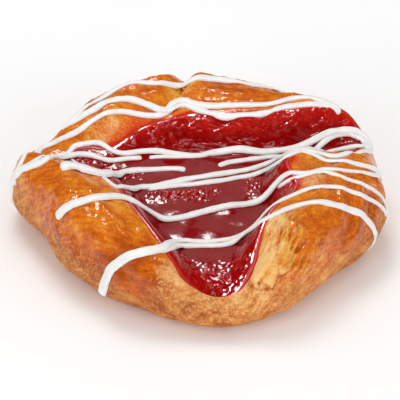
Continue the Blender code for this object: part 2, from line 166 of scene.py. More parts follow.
class Finish:
    """A material and short ways to add nodes to it."""

    def __init__(self, name):
        self.material = bpy.data.materials.new(name)
        self.material.use_nodes = True
        self.tree = self.material.node_tree
        self.shader = self.tree.nodes["Principled BSDF"]

    def node(self, kind, settings=None, **inputs):
        """A node of a kind, with settings, and each input set or linked by its name."""
        made = self.tree.nodes.new("ShaderNode" + kind)
        for name, value in (settings or {}).items():
            setattr(made, name, value)
        for name, value in inputs.items():
            self.feed(made.inputs[name.replace("_", " ")], value)
        return made

    def feed(self, socket, value):
        """Set a socket to a value, or link an output to it."""
        if isinstance(value, bpy.types.NodeSocket):
            self.tree.links.new(value, socket)
        else:
            socket.default_value = value

    def painted(self, name):
        """What was painted on the mesh under a name: a number for each point."""
        return self.node("Attribute", {"attribute_name": name}).outputs["Fac"]

    def sum(self, kind, first, second, third=None):
        """A sum done by a Math node, such as ADD or MULTIPLY_ADD."""
        made = self.node("Math", {"operation": kind})
        for socket, value in zip(made.inputs, (first, second, third)):
            if value is not None:
                self.feed(socket, value)
        return made.outputs[0]

    def grain(self, coordinates, size, detail=2.0, stretch=(1.0, 1.0, 1.0)):
        """Soft noise, 0 to 1, with spots of a size in millimetres."""
        scale = tuple(part / (size * MM) for part in stretch)
        placed = self.node("Mapping", Vector=coordinates, Scale=scale)
        made = self.node("TexNoise", Vector=placed.outputs[0], Scale=1.0, Detail=detail)
        return made.outputs["Fac"]

    def ramp(self, share, stops):
        """Colours along a share: stops are (place, colour)."""
        made = self.node("ValToRGB")
        self.feed(made.inputs[0], share)
        marks = made.color_ramp.elements
        while len(marks) < len(stops):
            marks.new(0.5)
        for mark, (place, colour) in zip(marks, stops):
            mark.position = place
            mark.color = (*colour, 1.0)
        return made.outputs["Color"]

    def mix(self, share, first, second):
        """Two colours mixed by a share."""
        made = self.node("Mix", {"data_type": "RGBA", "clamp_factor": True})
        for name, value in (("Factor", share), ("A", first), ("B", second)):
            sockets = [part for part in made.inputs if part.name == name and part.enabled]
            self.feed(sockets[0], value)
        return [part for part in made.outputs if part.enabled][0]

    def range(self, value, low, high, start=0.0, end=1.0):
        """A value taken from one range to another, and held inside it."""
        made = self.node("MapRange", {"clamp": True})
        for socket, part in zip(made.inputs, (value, low, high, start, end)):
            self.feed(socket, part)
        return made.outputs[0]


PLACE = "Object"  # the output of Texture Coordinate that goes with the piece
print("helpers ready")

# %% [markdown]
# ## The floor's finish
#
# A plain pale board. Even a plain board isn't one flat colour, so a faint cloud of noise breaks it up.

# %% Paint the floor
PALE_GREYS = (  # place in the cloud, colour
    (0.3, (0.97, 0.97, 0.97)),
    (0.7, (0.985, 0.985, 0.985)),
)

board = Finish("pale_board")
where = board.node("TexCoord").outputs[PLACE]
cloud = board.grain(where, 60.0)
board.feed(board.shader.inputs["Base Color"], board.ramp(cloud, PALE_GREYS))
board.shader.inputs["Roughness"].default_value = 0.7
board.shader.inputs["Specular IOR Level"].default_value = 0.2
floor_board.data.materials.append(board.material)
print("floor painted")

# %% [markdown]
# ## The plan of the danish
#
# The dough was a square. Its corners were folded in over the filling, and the oven rounded it. Seen from
# above, that leaves a round outline with a bulge where each corner was, and a star-shaped pool whose edge
# runs flap by flap. The solids were made from the same few numbers, so the dressed pieces will fit them. A
# scan or a sculpt could give the shape too, but numbers can be read, and changed one at a time.

# %% The numbers of the plan, in millimetres
BASE_RADIUS = 49.6
CORNERS = (  # direction in degrees, how far it bulges, how wide the bulge is in degrees
    (21.0, 7.3, 12.0),
    (350.0, 7.0, 20.0),
    (172.0, 9.0, 15.0),
    (287.0, 5.0, 32.0),
)
FLAPS = (  # degrees, heights and places in mm; the ridge is a share of the flap's width from the outline
    {
        "name": "back right",
        "starts_at": 22.0,
        "height": (25.5, 31.2),
        "ridge": (0.48, 0.43),
        "columns": 20,
        "edge": ((50.5, 20.5, 19.0), (45.5, 26.0, 25.0), (37.0, 26.5, 27.5), (26.0, 24.5, 27.5),
                 (10.0, 23.0, 27.0), (-1.0, 24.0, 26.5)),
    },
    {
        "name": "back left",
        "starts_at": 93.5,
        "height": (32.2, 27.0),
        "ridge": (0.43, 0.49),
        "columns": 15,
        "edge": ((-9.5, 23.0, 25.0), (-18.5, 20.0, 23.5), (-27.0, 14.5, 20.5), (-36.0, 14.5, 20.5)),
    },
    {
        "name": "front left",
        "starts_at": 168.0,
        "height": (27.0, 28.5),
        "ridge": (0.49, 0.47),
        "columns": 26,
        "edge": ((-45.5, 9.5, 19.0), (-38.0, 2.5, 22.0), (-27.5, -7.0, 23.5), (-20.5, -22.0, 24.5),
                 (-14.5, -33.0, 23.5), (-9.0, -41.5, 20.0), (-4.0, -46.5, 14.5)),
    },
    {
        "name": "front right",
        "starts_at": 275.0,
        "height": (28.5, 25.0),
        "ridge": (0.47, 0.48),
        "columns": 28,
        "edge": ((4.0, -49.5, 9.3), (11.4, -48.7, 13.0), (15.8, -42.5, 17.5), (18.0, -34.0, 23.0),
                 (21.5, -25.5, 25.3), (29.0, -14.5, 26.0), (26.5, -2.0, 26.0), (31.0, 6.2, 25.0),
                 (41.5, 7.0, 22.0), (47.5, 12.5, 20.0)),
    },
)
CREASES = (  # at the start of each flap: how deep, and how wide along the filling's edge
    (2.3, 5.0),
    (5.0, 2.6),
    (3.5, 5.0),
    (1.6, 5.0),
)
HOLLOW_CENTRE = np.array((1.0, 7.5))
FINER = 7  # how many columns the dressed crust has for each one of the solid
print("columns round the danish:", FINER * sum(flap["columns"] for flap in FLAPS))

# %% Lines through points
ROUGH_STEPS = 6  # short pieces between two points of the edge, where only distances are read
FINE_STEPS = 16  # the same, where the crust's columns start

def through(knots, steps):
    """A smooth line through knots; the first and the last only steer it."""
    share = (np.arange(steps) / steps)[:, None]
    line = [
        0.5
        * (
            2 * q
            + (r - p) * share
            + (2 * p - 5 * q + 4 * r - s) * share**2
            + (3 * q - p - 3 * r + s) * share**3
        )
        for p, q, r, s in zip(knots, knots[1:], knots[2:], knots[3:])
    ]
    return np.concatenate([*line, knots[-2:-1]])


def part_way(line, shares):
    """The places at shares of a line's length seen from above, and that length."""
    run = np.concatenate([[0.0], np.cumsum(np.hypot(*np.diff(line[:, :2], axis=0).T))])
    return np.stack([np.interp(shares * run[-1], run, axis) for axis in line.T], axis=1), run[-1]


def edge_of(number, steps):
    """The filling's edge along one flap, its last point being the next flap's first."""
    knots = np.array([knot for flap in FLAPS for knot in flap["edge"]])
    first = sum(len(flap["edge"]) for flap in FLAPS[:number])
    chosen = range(first - 1, first + len(FLAPS[number]["edge"]) + 2)
    return through(np.take(knots, chosen, axis=0, mode="wrap"), steps)


def outline(direction):
    """The baked outline seen from above, in directions given in degrees."""
    radius = np.full(len(direction), BASE_RADIUS)
    for at, bulge, spread in CORNERS:
        off = (direction - at + 180) % 360 - 180
        radius += bulge * np.exp(-((off / spread) ** 2))
    turn = np.radians(direction)
    return np.stack([radius * np.cos(turn), radius * np.sin(turn)], axis=1)


def smooth(share):
    """0 to 1 with a soft start and end."""
    share = np.clip(share, 0.0, 1.0)
    return share * share * (3 - 2 * share)


def between(ends, share):
    """The value a share of the way from the first of two to the second."""
    return ends[0] + (ends[1] - ends[0]) * share


EDGE = np.concatenate([edge_of(number, ROUGH_STEPS)[:-1] for number in range(len(FLAPS))])
print("the filling's edge is", round(part_way(EDGE, np.zeros(1))[1]), "mm long")

# %% [markdown]
# ## How the dough puffs
#
# Cut across a flap and you see a fat roll: a short slope up from the filling, a ridge, a long round outer
# side, and a foot that turns under. It is full where the flap is wide and low where an arm of the filling
# runs out to the rim. So we work out one cross-section for each of some 600 columns round the danish, from
# the flap's width there. The rings are then steps along that cross-section.

# %% One cross-section for each column
RIM_HEIGHT = 11.5  # of a flap that has no width at all
FULL_WIDTH = 11.0  # a flap wider than this puffs up fully
NARROW_WIDTH = 6.0  # a flap narrower than this has its ridge nearly at the filling
NARROW_RIDGE = 0.85
LEAST_CLIMB = 0.5  # from the filling's edge to the ridge


def cross_sections():
    """For each column: where it meets the filling (3 numbers), the outline (2), height, ridge and width."""
    made = []
    for number, flap in enumerate(FLAPS):
        after = (number + 1) % len(FLAPS)
        share = np.arange(flap["columns"] * FINER) / (flap["columns"] * FINER)
        lip, length = part_way(edge_of(number, FINE_STEPS), share)
        turned = (FLAPS[after]["starts_at"] - flap["starts_at"]) % 360
        rim = outline(flap["starts_at"] + turned * share)
        width = np.hypot(*(rim - lip[:, :2]).T)
        puff = 1 - np.exp(-((width / FULL_WIDTH) ** 2))
        height = RIM_HEIGHT + (between(flap["height"], share) - RIM_HEIGHT) * puff
        both_creases = ((CREASES[number], share * length), (CREASES[after], (1 - share) * length))
        for (depth, spread), away in both_creases:
            height = height - depth * np.exp(-((away / spread) ** 2))
        height = np.maximum(height, lip[:, 2] + LEAST_CLIMB)
        narrow = np.exp(-((width / NARROW_WIDTH) ** 2))
        ridge = width * between((between(flap["ridge"], share), NARROW_RIDGE), narrow)
        made.append(np.column_stack([lip, rim, height, ridge, width]))
    return np.concatenate(made)


SECTIONS = cross_sections()
LIP, RIM = SECTIONS[:, :3], SECTIONS[:, 3:5]
HEIGHT, RIDGE, WIDTH = (SECTIONS[:, row][:, None] for row in (5, 6, 7))
print("flaps are", round(WIDTH.min(), 1), "to", round(WIDTH.max(), 1), "mm wide")
print("the highest ridge is", round(HEIGHT.max(), 1), "mm up")

# %% [markdown]
# ## Noise in millimetres
#
# Nothing baked is even. Blender's noise gives soft random lumps that are the same on every run. We ask for
# it at places divided by the size of the lumps, so that size is a real one.

# %% Noise helpers


def lumps(places, size, seed=0):
    """Soft noise, about -1 to 1, with lumps of a size in millimetres; size may differ along each axis."""
    scaled = places / np.asarray(size, float) + seed
    flat = [noise.noise(Vector(place)) for place in scaled.reshape(-1, 3)]
    return np.array(flat).reshape(places.shape[:-1])


CREST_SHARPNESS = 2.2


def creases(places, size, seed=0):
    """Noise with sharp crests, 0 to 1."""
    return 1 - np.clip(CREST_SHARPNESS * np.abs(lumps(places, size, seed)), 0, 1)


# %% [markdown]
# ## The filling's bed
#
# The filling lies in the hollow between the flaps: a level pool that climbs its banks to the flaps' edges
# and slopes down to the front. Both the crust below it and the filling itself need this height, so it comes
# first. How far a place is from the edge is worked out against every short piece of the edge.

# %% Heights in the hollow
POOL_HEIGHT = 17.5
POOL_FALL_FROM = -5.0  # y from which the pool slopes down to the front
POOL_FALL = 0.115
BANK_WIDTH = 9.0
BANK_SOFTNESS = 0.8
FILLING_DEPTH = 5.0
BEAD_LENGTH = 4.0  # how far in from the edge the filling reaches its depth
FILLING_LUMP = 0.7
FILLING_LUMP_LENGTH = 8.0


def bank(plan):
    """How far places in the hollow are from the filling's edge, and that edge's height there."""
    nearest = np.full(plan.shape[:-1], np.inf)
    heights, weights = np.zeros_like(nearest), np.zeros_like(nearest)
    for start, end in zip(EDGE, np.roll(EDGE, -1, axis=0)):
        run = end[:2] - start[:2]
        reach = np.clip((plan - start[:2]) @ run / (run @ run), 0, 1)
        away = np.hypot(*np.moveaxis(plan - start[:2] - reach[..., None] * run, -1, 0))
        nearest = np.minimum(nearest, away)
        weight = np.sqrt(run @ run) / (away**2 + BANK_SOFTNESS**2) ** 2
        heights += weight * between((start[2], end[2]), reach)
        weights += weight
    return nearest, heights / weights


def filling_top(plan):
    """Height of the filling, and how far each place is from its edge."""
    away, edge_height = bank(plan)
    pool = POOL_HEIGHT - POOL_FALL * np.maximum(0.0, POOL_FALL_FROM - plan[..., 1])
    level = np.concatenate([plan, np.zeros_like(plan[..., :1])], axis=-1)
    lump = FILLING_LUMP * lumps(level, FILLING_LUMP_LENGTH) * smooth(away / BEAD_LENGTH)
    return pool + (edge_height - pool) * (1 - smooth(away / BANK_WIDTH)) + lump, away


def bed(plan):
    """Height of the dough under the filling."""
    top, away = filling_top(plan)
    return top - FILLING_DEPTH * (1 - np.exp(-away / BEAD_LENGTH))


print("the pool's middle lies", round(float(filling_top(HOLLOW_CENTRE[None])[0][0]), 1), "mm up")

# %% [markdown]
# ## The bare crust
#
# The crust is one closed skin. A sphere has the right layout for it: its rings become the steps of the
# cross-section, from the middle of the hollow over the flap to the middle of the base. Here we work out
# where each ring goes, and how far over the flap it lies, which the layers of the dough follow later.

# %% Rings of the crust
WIDEST_SHARE = 0.45  # of the height, where the side stands out most
FOOT_INSET = 10.0
FOOT_SHARE = 0.8
BED_RINGS, INNER_RINGS, OUTER_RINGS, UNDER_RINGS = 6, 30, 74, 24


def across(inward, z):
    """Places at distances in from the outline, toward the filling's edge, at heights z."""
    share = (inward / WIDTH)[..., None]
    plan = RIM[:, None] + (LIP[:, None, :2] - RIM[:, None]) * share
    return np.concatenate([plan, np.broadcast_to(z[..., None], plan.shape[:2] + (1,))], axis=-1)


def crust_rings():
    """The crust's places, by column and ring, from the filling's edge to the foot; and the flaps' cores."""
    widest = WIDEST_SHARE * HEIGHT
    foot = np.minimum(FOOT_INSET, FOOT_SHARE * HEIGHT)
    climb = np.arange(INNER_RINGS) / INNER_RINGS
    turn = (1 - np.arange(OUTER_RINGS) / OUTER_RINGS) * pi / 2
    tuck = np.arange(UNDER_RINGS + 1) / UNDER_RINGS * pi / 2
    inner_height = LIP[:, 2:] + (HEIGHT - LIP[:, 2:]) * np.sin(climb * pi / 2)
    inner = across(WIDTH - (WIDTH - RIDGE) * climb, inner_height)
    outer_height = widest + (HEIGHT - widest) * np.sin(turn)
    outer = across(RIDGE * (1 - np.cos(turn)), outer_height)
    under = across(foot * (1 - np.cos(tuck)), widest * (1 - np.sin(tuck)))
    core = across(np.maximum(RIDGE, foot), widest)
    return np.concatenate([inner, outer, under], axis=1), core


BARE, CORE = crust_rings()
ring_steps = np.linalg.norm(np.diff(BARE, axis=1), axis=2)
OVER = np.concatenate([np.zeros((len(BARE), 1)), np.cumsum(ring_steps, axis=1)], axis=1)
print("bare crust:", BARE.shape[0], "columns by", BARE.shape[1], "rings")
print("the longest section is", round(OVER.max()), "mm")

# %% [markdown]
# ## Relief: lumps, layers and flakes
#
# Puff dough is many thin layers. Where the bake lifts them, their edges show as long fine ridges that run
# with the flap. The same noise, stretched along the flap and squeezed across it, draws such ridges. Broad
# lumps and slow waves come from the same sums as the solid's, so the dressed crust lies on it. Wrinkles
# gather by the front arm, where the thin skin of the right flap has shrunk, and a few leaves have torn there.
# At the back, the crease has partly grown together. All of this moves the mesh itself, so it shows in the
# outline and casts its own shade.

# %% Where the relief is, in millimetres
LUMP_HEIGHT, LUMP_LENGTH = 0.9, 13.0
LAYER_HEIGHT, LAYER_SPACING, LAYER_WANDER = 0.35, 7.5, 1.6
PLAIN_MARGIN = 6.0
SLANTS = {  # how far the layers cross over each flap on their way along it
    "back right": -6.0,
    "back left": -54.0,
    "front left": 70.0,
    "front right": -10.0,
}
SWAY, SWAY_LENGTH = 2.2, 13.0
WRINKLED = (  # place, reach
    ((25.0, -35.0, 26.0), (5.5, 8.0, 7.0)),
    ((26.0, -43.0, 22.0), (6.0, 5.0, 6.0)),
)
TORN = (  # a leaf's root, its tip, how wide it is to each side
    ((18.5, -46.0, 21.8), (20.3, -50.9, 15.6), 3.2),
    ((15.2, -46.0, 18.5), (15.8, -50.0, 14.6), 2.4),
    ((24.5, -45.0, 22.0), (23.5, -49.8, 17.0), 2.2),
    ((-10.5, -42.5, 21.0), (-12.5, -46.5, 17.0), 2.2),
)
CLOSED_CREASE = ((-5, 30, 26), (3, 6, 4), 1.5)  # place, reach, how high
BLISTERED = (  # place, reach, how high
    ((-33, -17, 28), 5, 0.4),
    ((-26, -30, 27), 5, 0.5),
    ((-21, -38, 26), 6, 0.5),
    ((-13, -45, 21), 3, 0.4),
    ((26, -37, 26), 5, 0.5),
    ((24, -48, 19), 5, 0.4),
    ((31, -38, 24), 4, 0.4),
    ((-4, 33, 29), 4, 0.5),
    ((-13, 29, 29), 4, 0.4),
)
print(len(TORN), "torn leaves and", len(BLISTERED), "patches of blisters")

# %% Follow the layers


def near(places, spot, reach):
    """1 at a spot, fading to 0 over a reach; reach may differ along each axis."""
    off = (places - np.asarray(spot)) / np.asarray(reach, float)
    return np.exp(-np.sum(off * off, axis=-1))


def slant_of_the_layers():
    """How far the layers are shifted over the flap in each column, so that they cross it at a slant."""
    counts = [flap["columns"] * FINER for flap in FLAPS]
    shifts = [np.full(count, SLANTS[flap["name"]] / count) for flap, count in zip(FLAPS, counts)]
    turn = np.concatenate(shifts)
    return np.cumsum(turn - turn.mean())[:, None]


def along_the_flap():
    """Coordinates that follow the layers: two go round the danish and one goes over the flap."""
    round_it = np.broadcast_to(RIM[:, None], BARE.shape[:2] + (2,))
    sway = SWAY * lumps(BARE, SWAY_LENGTH, seed=5)
    over_it = OVER + slant_of_the_layers() + sway
    return np.concatenate([round_it, over_it[..., None]], axis=-1)


LAYERS = along_the_flap()
print("the layers run from", round(LAYERS[..., 2].min()), "to", round(LAYERS[..., 2].max()), "mm over the flaps")

# %% Kinds of relief
OUTER_SIDE_FROM, OUTER_SIDE_FADE = 8.0, 8.0  # over the flap, from the filling's edge
TOPS_FROM, TOPS_FADE = 14.0, 8.0  # heights
OUTER_SIDE = smooth((OVER - OUTER_SIDE_FROM) / OUTER_SIDE_FADE)
TOPS = smooth((BARE[..., 2] - TOPS_FROM) / TOPS_FADE)
LEAF_STEP, LEAF_LENGTH = 0.24, 3.4
RIDGE_HEIGHT, RIDGE_SIZE = 0.08, (5.0, 5.0, 1.8)
THREAD_HEIGHT, THREAD_SIZE = 0.04, (2.5, 2.5, 0.8)
WRINKLE_HEIGHT = 1.4
RAGGED_LENGTH = 1.6  # of the tears along a torn leaf's edge


def broad_relief():
    """The lumps and the slow waves that the solid has too."""
    lump = LUMP_HEIGHT * lumps(BARE, LUMP_LENGTH)
    level = BARE * (1.0, 1.0, 0.0)
    inward = np.hypot(*np.moveaxis(BARE[..., :2] - RIM[:, None], -1, 0))
    down = np.hypot(WIDTH - inward, HEIGHT - BARE[..., 2])
    wander = LAYER_WANDER * lumps(level, LUMP_LENGTH)
    waves = LAYER_HEIGHT * np.sin(2 * pi * down / LAYER_SPACING + wander)
    from_lip = np.linalg.norm(BARE[..., :2] - LIP[:, None, :2], axis=-1)
    return (lump + waves) * smooth(from_lip / PLAIN_MARGIN)


def layer_edges():
    """Thin leaves that end in a small step, and ridges that run with the flap."""
    at = LAYERS[..., 2] / LEAF_LENGTH + 0.8 * lumps(LAYERS, (9.0, 9.0, 7.0), seed=8)
    drop = smooth((1 - at % 1) / 0.2)
    lifted = smooth(2.5 * lumps(LAYERS, (7.0, 7.0, 4.0), seed=9) + 0.4)
    leaf = LEAF_STEP * (at % 1) * drop * lifted
    ridges = RIDGE_HEIGHT * creases(LAYERS, RIDGE_SIZE, seed=2)
    threads = THREAD_HEIGHT * lumps(LAYERS, THREAD_SIZE, seed=3)
    return leaf + ridges + threads


def wrinkles():
    """Shrunk skin beside the front arm."""
    wide = 0.8 * creases(LAYERS, (5.0, 5.0, 1.9), seed=11)
    narrow = 0.5 * creases(LAYERS, (2.6, 2.6, 1.1), seed=12)
    where = np.clip(sum(near(BARE, spot, reach) for spot, reach in WRINKLED), 0, 1)
    return WRINKLE_HEIGHT * (wide + narrow - 0.55) * where


def torn_leaves(grown=0.0):
    """How far along a torn leaf of dough each place is, 0 to 1, and 0 beyond its ragged edge.

    Leaves that are grown by some millimetres cover the seam beside them too.
    """
    ragged = lumps(BARE, RAGGED_LENGTH, seed=13)
    most = np.zeros(BARE.shape[:2])
    for root, tip, wide in TORN:
        axis = np.subtract(tip, root)
        reach = (BARE - root) @ axis / (axis @ axis)
        aside = np.linalg.norm(BARE - root - reach[..., None] * axis, axis=-1)
        end = smooth((1 + 0.2 * ragged + grown / 6 - reach) / 0.08)
        side = smooth((wide * (1.1 - 0.7 * reach) + ragged + grown - aside) / 0.5)
        most = np.maximum(most, smooth(reach / 0.8) * end * side)
    return most


def blisters():
    """Bubbles of steam under the skin: low ones everywhere, and higher ones in patches."""
    low = 0.14 * lumps(BARE, 3.0, seed=4) + (0.08 + 0.10 * TOPS) * lumps(BARE, 1.6, seed=6)
    high = sum(height * near(BARE, spot, reach) for spot, reach, height in BLISTERED)
    return low + high * lumps(BARE, 1.3, seed=15)


print("the broad relief is up to", round(broad_relief().max(), 2), "mm")

# %% Move the crust by its relief
TORN_THICKNESS = 0.9
FULL_BLISTERS_FROM = 6.0  # over the flap
PLAIN_LIP = 1.5  # over the flap, where the crust keeps to the filling's edge
FINE = layer_edges() * OUTER_SIDE + wrinkles() + TORN_THICKNESS * torn_leaves()
GROWN_TOGETHER = CLOSED_CREASE[2] * near(BARE, *CLOSED_CREASE[:2])
blister_share = 0.3 + 0.7 * smooth(OVER / FULL_BLISTERS_FROM)
RELIEF = broad_relief() + FINE + GROWN_TOGETHER + blisters() * blister_share
RELIEF *= smooth((BARE[..., 2] + 0.5) / PLAIN_MARGIN) * smooth(OVER / PLAIN_LIP)
away_from_core = BARE - CORE
away_from_core /= np.linalg.norm(away_from_core, axis=-1, keepdims=True)
CRUST = BARE + away_from_core * RELIEF[..., None]
print("relief from", round(RELIEF.min(), 2), "to", round(RELIEF.max(), 2), "mm")

# %% [markdown]
# ## From rings to a mesh
#
# A mesh can be listed face by face, but a sphere from Blender already has the faces. We make one with as
# many segments and rings as we need, read from each point which column and ring it is, and move all points
# at once. Numbers painted on the points go along as attributes, which the nodes can read.

# %% Make a piece from a sphere's grid


def dressed_piece(name, grid, nodes, paint=None):
    """A closed piece from places by column and ring, in millimetres, that rides on the root body.

    The first and the last ring are single points. Paint is a dictionary of numbers by column and ring.
    """
    columns, rings = grid.shape[0], grid.shape[1] - 1
    ball = bmesh.new()
    bmesh.ops.create_uvsphere(ball, u_segments=columns, v_segments=rings, radius=1.0)
    mesh = bpy.data.meshes.new(name)
    ball.to_mesh(mesh)
    ball.free()
    at = np.empty(len(mesh.vertices) * 3, np.float32)
    mesh.vertices.foreach_get("co", at)
    x, y, z = at.reshape(-1, 3).T
    ring = np.rint(np.arctan2(np.hypot(x, y), z) / pi * rings).astype(int)
    column = np.rint(np.arctan2(y, x) / (2 * pi) * columns).astype(int) % columns
    mesh.vertices.foreach_set("co", (grid[column, ring] * MM).astype(np.float32).ravel())
    for kind, values in (paint or {}).items():
        single = values.ndim == 2
        layer = mesh.attributes.new(kind, "FLOAT" if single else "FLOAT_VECTOR", "POINT")
        numbers = values[column, ring].astype(np.float32).ravel()
        layer.data.foreach_set("value" if single else "vector", numbers)
    turn_out(mesh)
    mesh.shade_smooth()
    piece = bpy.data.objects.new(name, mesh)
    bpy.context.scene.collection.objects.link(piece)
    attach(piece, "root")
    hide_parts(*nodes)
    print(name, "has", len(mesh.polygons), "faces")
    return piece


def turn_out(mesh):
    """Make a closed mesh's faces point outward."""
    skin = bmesh.new()
    skin.from_mesh(mesh)
    if skin.calc_volume(signed=True) < 0:
        bmesh.ops.reverse_faces(skin, faces=skin.faces)
        skin.to_mesh(mesh)
    skin.free()


print("a piece takes its faces from a sphere")

# %% [markdown]
# ## What the oven and the brush did
#
# The colour of a crust tells how it was baked. Egg wash and syrup turn the tops a clear orange, the sides
# that got none stay dull, spots that face the heat go brown, and folds that were shut stay pale. The
# filling stains the dough that it touches. We paint three masks: glaze, bake and stain. The bake mask also
# carries painted light and shade: the dips of the relief go browner and its crests paler, partly as painted
# shade; a brown line round each torn leaf is its browned tear and a painted shadow under its edge; and in
# the notch at the back, a paler bake and more glaze are partly its own pale dough and partly painted light
# against the shade of its crease. Most of each mask follows from a rule, such as height, and a few soft
# dabs at real places put the rest where the photograph has it, like a brush.

# %% Where the crust differs
BROWNED = (  # place, reach, how much browner
    ((-41, -26, 14), 8, 0.25),
    ((-32, -38, 15), 9, 0.25),
    ((-22, -46, 11), 9, 0.2),
    ((-42, -28, 15), 6, 0.12),
    ((-42, -20, 24), 6, 0.12),
    ((-11, -52, 11), 7, 0.22),
    ((2, -53, 9), 7, 0.18),
    ((8, -53, 5), 6, 0.2),
    ((29, -50, 11), 7, 0.12),
    ((-34, 25, 27), 4, 0.6),
    ((-40, 10, 25), 6, 0.1),
    ((-24, -42, 19), 7, 0.3),
    ((-16, -43, 21), 7, 0.35),
    ((-12, -48, 15), 6, 0.2),
    ((-45, -5, 24), 8, 0.1),
    ((50, -18, 17), 9, 0.3),
    ((43, -27, 19), 7, 0.1),
    ((36, -33, 23), 7, 0.1),
    ((12, 32, 29), 14, 0.25),
    ((-13, 31, 29), 9, 0.15),
    ((-52, -6, 12), 9, 0.1),
    ((30, -17, 27), 5, 0.15),
)
PALE = (  # place, reach, how much paler
    ((-36, -31, 22), 5, 0.25),
    ((-28, -38, 23), 5, 0.2),
    ((16, -51, 14), 8, 0.1),
    ((19, -41, 24), 6, 0.35),
    ((20, -47, 20), 6, 0.18),
    ((22, -31, 26), 5, 0.35),
    ((-13, -33, 24), 4, 0.15),
    ((-53, 0, 18), 6, 0.15),
    ((-44, -26, 10), 9, 0.15),
    ((-24, -50, 8), 6, 0.3),
    ((-9, -48, 17), 4, 0.25),
    ((33, -12, 26), 4, 0.15),
    ((34, -42, 12), 9, 0.15),
    ((27, 0, 26), 4, 0.1),
    # the notch at the back: its pale dough, and painted light that lifts the shade of its crease
    ((-6, 33, 27), 6, 0.6),
    ((-28, 21, 26), 5, 0.3),
    ((-24, -50, 8), 5, 0.1),
    ((19, -47, 22), 5, 0.2),
)
UNBRUSHED = (  # place, reach, how much less glaze
    ((19, -43, 22), 8, 0.6),
    ((-9, -48, 17), 5, 1.0),
    ((33, -12, 26), 5, 0.8),
    ((-42, -28, 13), 6, 0.3),
    ((38, -36, 21), 6, 0.3),
    ((22, -30, 26), 5, 0.6),
    ((26, -38, 24), 6, 0.3),
    ((14, -51, 13), 9, 0.5),
    ((2, -52, 11), 8, 0.4),
    ((-45, -22, 12), 9, 0.2),
    ((-52, 0, 16), 8, 0.6),
    ((52, -14, 14), 9, 0.3),
    ((-29, 19, 24), 7, 0.5),
)
BRUSHED = (  # place, reach, how much more glaze
    ((-22, -42, 18), 7, 0.5),
    ((-17, -47, 14), 6, 0.5),
    ((42, -29, 17), 8, 0.4),
    # the notch at the back: glazed, and more orange as painted light against the shade of its crease
    ((-6, 33, 27), 6, 0.5),
    ((28, -40, 25), 5, 0.3),
)
STAINED = (  # place, reach, how red
    ((-19, 22, 25), 6, 0.7),
    ((-27, 17, 23), 6, 0.55),
    ((-9, 26, 27), 6, 0.6),
    ((-23, 22, 27), 6, 0.3),
    ((12, 25, 27), 9, 0.45),
    ((29, -10, 26), 4, 0.9),
    ((27, -15, 26), 4, 0.5),
    ((28, -1, 26), 4, 0.9),
    ((33, 24, 27), 8, 0.3),
    ((49, 24, 23), 5, 4.0),
)
print(len(BROWNED), "browner dabs,", len(PALE), "paler ones and", len(STAINED), "stained ones")

# %% Paint the masks on the crust
GLAZED_FROM, GLAZED_FADE = 8.0, 12.0  # heights
EVEN_BAKE = 0.45
BAKED_SIDE, SIDE_FROM, SIDE_FADE = 0.15, 10.0, 14.0  # how much browner, and where over the flap
SOFT_LIP, SOFT_LIP_WIDTH = 0.25, 3.0  # the filling keeps the dough beside it pale
BROWN_SEAM_SHADOW, SEAM_WIDTH = 0.5, 0.8  # round a torn leaf: its browned tear and a painted shadow under its edge
BROWNED_AND_SHADED_DIPS, EVEN_RELIEF = 0.4, 0.12  # dips are browner than crests: partly their bake, partly painted shade
SEEP_LEAST, SEEP_MORE, SEEP_LENGTH = 0.4, 0.8, 4.0  # how far the filling wets the dough beside it
STAIN_REACH = 7.0


def dabs(spots):
    """The sum of soft dabs at real places on the crust."""
    return sum(amount * near(CRUST, spot, reach) for spot, reach, amount in spots)


lip_away = np.linalg.norm(CRUST - LIP[:, None], axis=-1)
height_share = smooth((CRUST[..., 2] - GLAZED_FROM) / GLAZED_FADE)
glaze = height_share * (1 - dabs(UNBRUSHED)) + dabs(BRUSHED)
# The bake mask: the oven's browning, plus painted shade and painted light added below.
bake_and_shade = EVEN_BAKE + BAKED_SIDE * smooth((OVER - SIDE_FROM) / SIDE_FADE)
bake_and_shade -= SOFT_LIP * np.exp(-lip_away / SOFT_LIP_WIDTH)
# a brown line round each torn leaf: the browned tear, and a painted shadow under the leaf's edge
seam_shadows = torn_leaves(SEAM_WIDTH) - torn_leaves()
# the relief's dips go browner and its crests paler: partly their bake, partly painted shade
bake_and_shade += dabs(BROWNED) - dabs(PALE) + BROWN_SEAM_SHADOW * seam_shadows - BROWNED_AND_SHADED_DIPS * (FINE - EVEN_RELIEF)
bake_and_shade = np.clip(bake_and_shade, 0.0, 1.0)
seep = SEEP_LEAST + SEEP_MORE * smooth(0.5 + lumps(CRUST, SEEP_LENGTH, seed=14))
wet_edge = 0.9 * np.exp(-((lip_away / seep) ** 2))
stain = np.clip(wet_edge + dabs(STAINED) * np.exp(-lip_away / STAIN_REACH), 0.0, 1.0)
rough = np.clip(dabs(UNBRUSHED) - dabs(BRUSHED) + 0.5 * (1 - TOPS), 0.0, 1.0)
for mask_name, mask in (("bake_and_shade", bake_and_shade), ("glaze", glaze), ("stain", stain), ("rough", rough)):
    print(mask_name, "is", round(float(mask.mean()), 3), "on average")

# %% Close the crust and make it
bed_share = np.sin(np.arange(BED_RINGS) / BED_RINGS * pi / 2)[:, None]
bed_plan = HOLLOW_CENTRE + (LIP[:, None, :2] - HOLLOW_CENTRE) * bed_share
bed_grid = np.concatenate([bed_plan, bed(bed_plan)[..., None]], axis=-1)
base_shares = np.array([0.5, 0.0])[:, None]  # from the foot to the middle of the flat base
base_grid = CRUST[:, -1:] * base_shares * (1, 1, 0)
crust_grid = np.concatenate([bed_grid, CRUST, base_grid], axis=1)


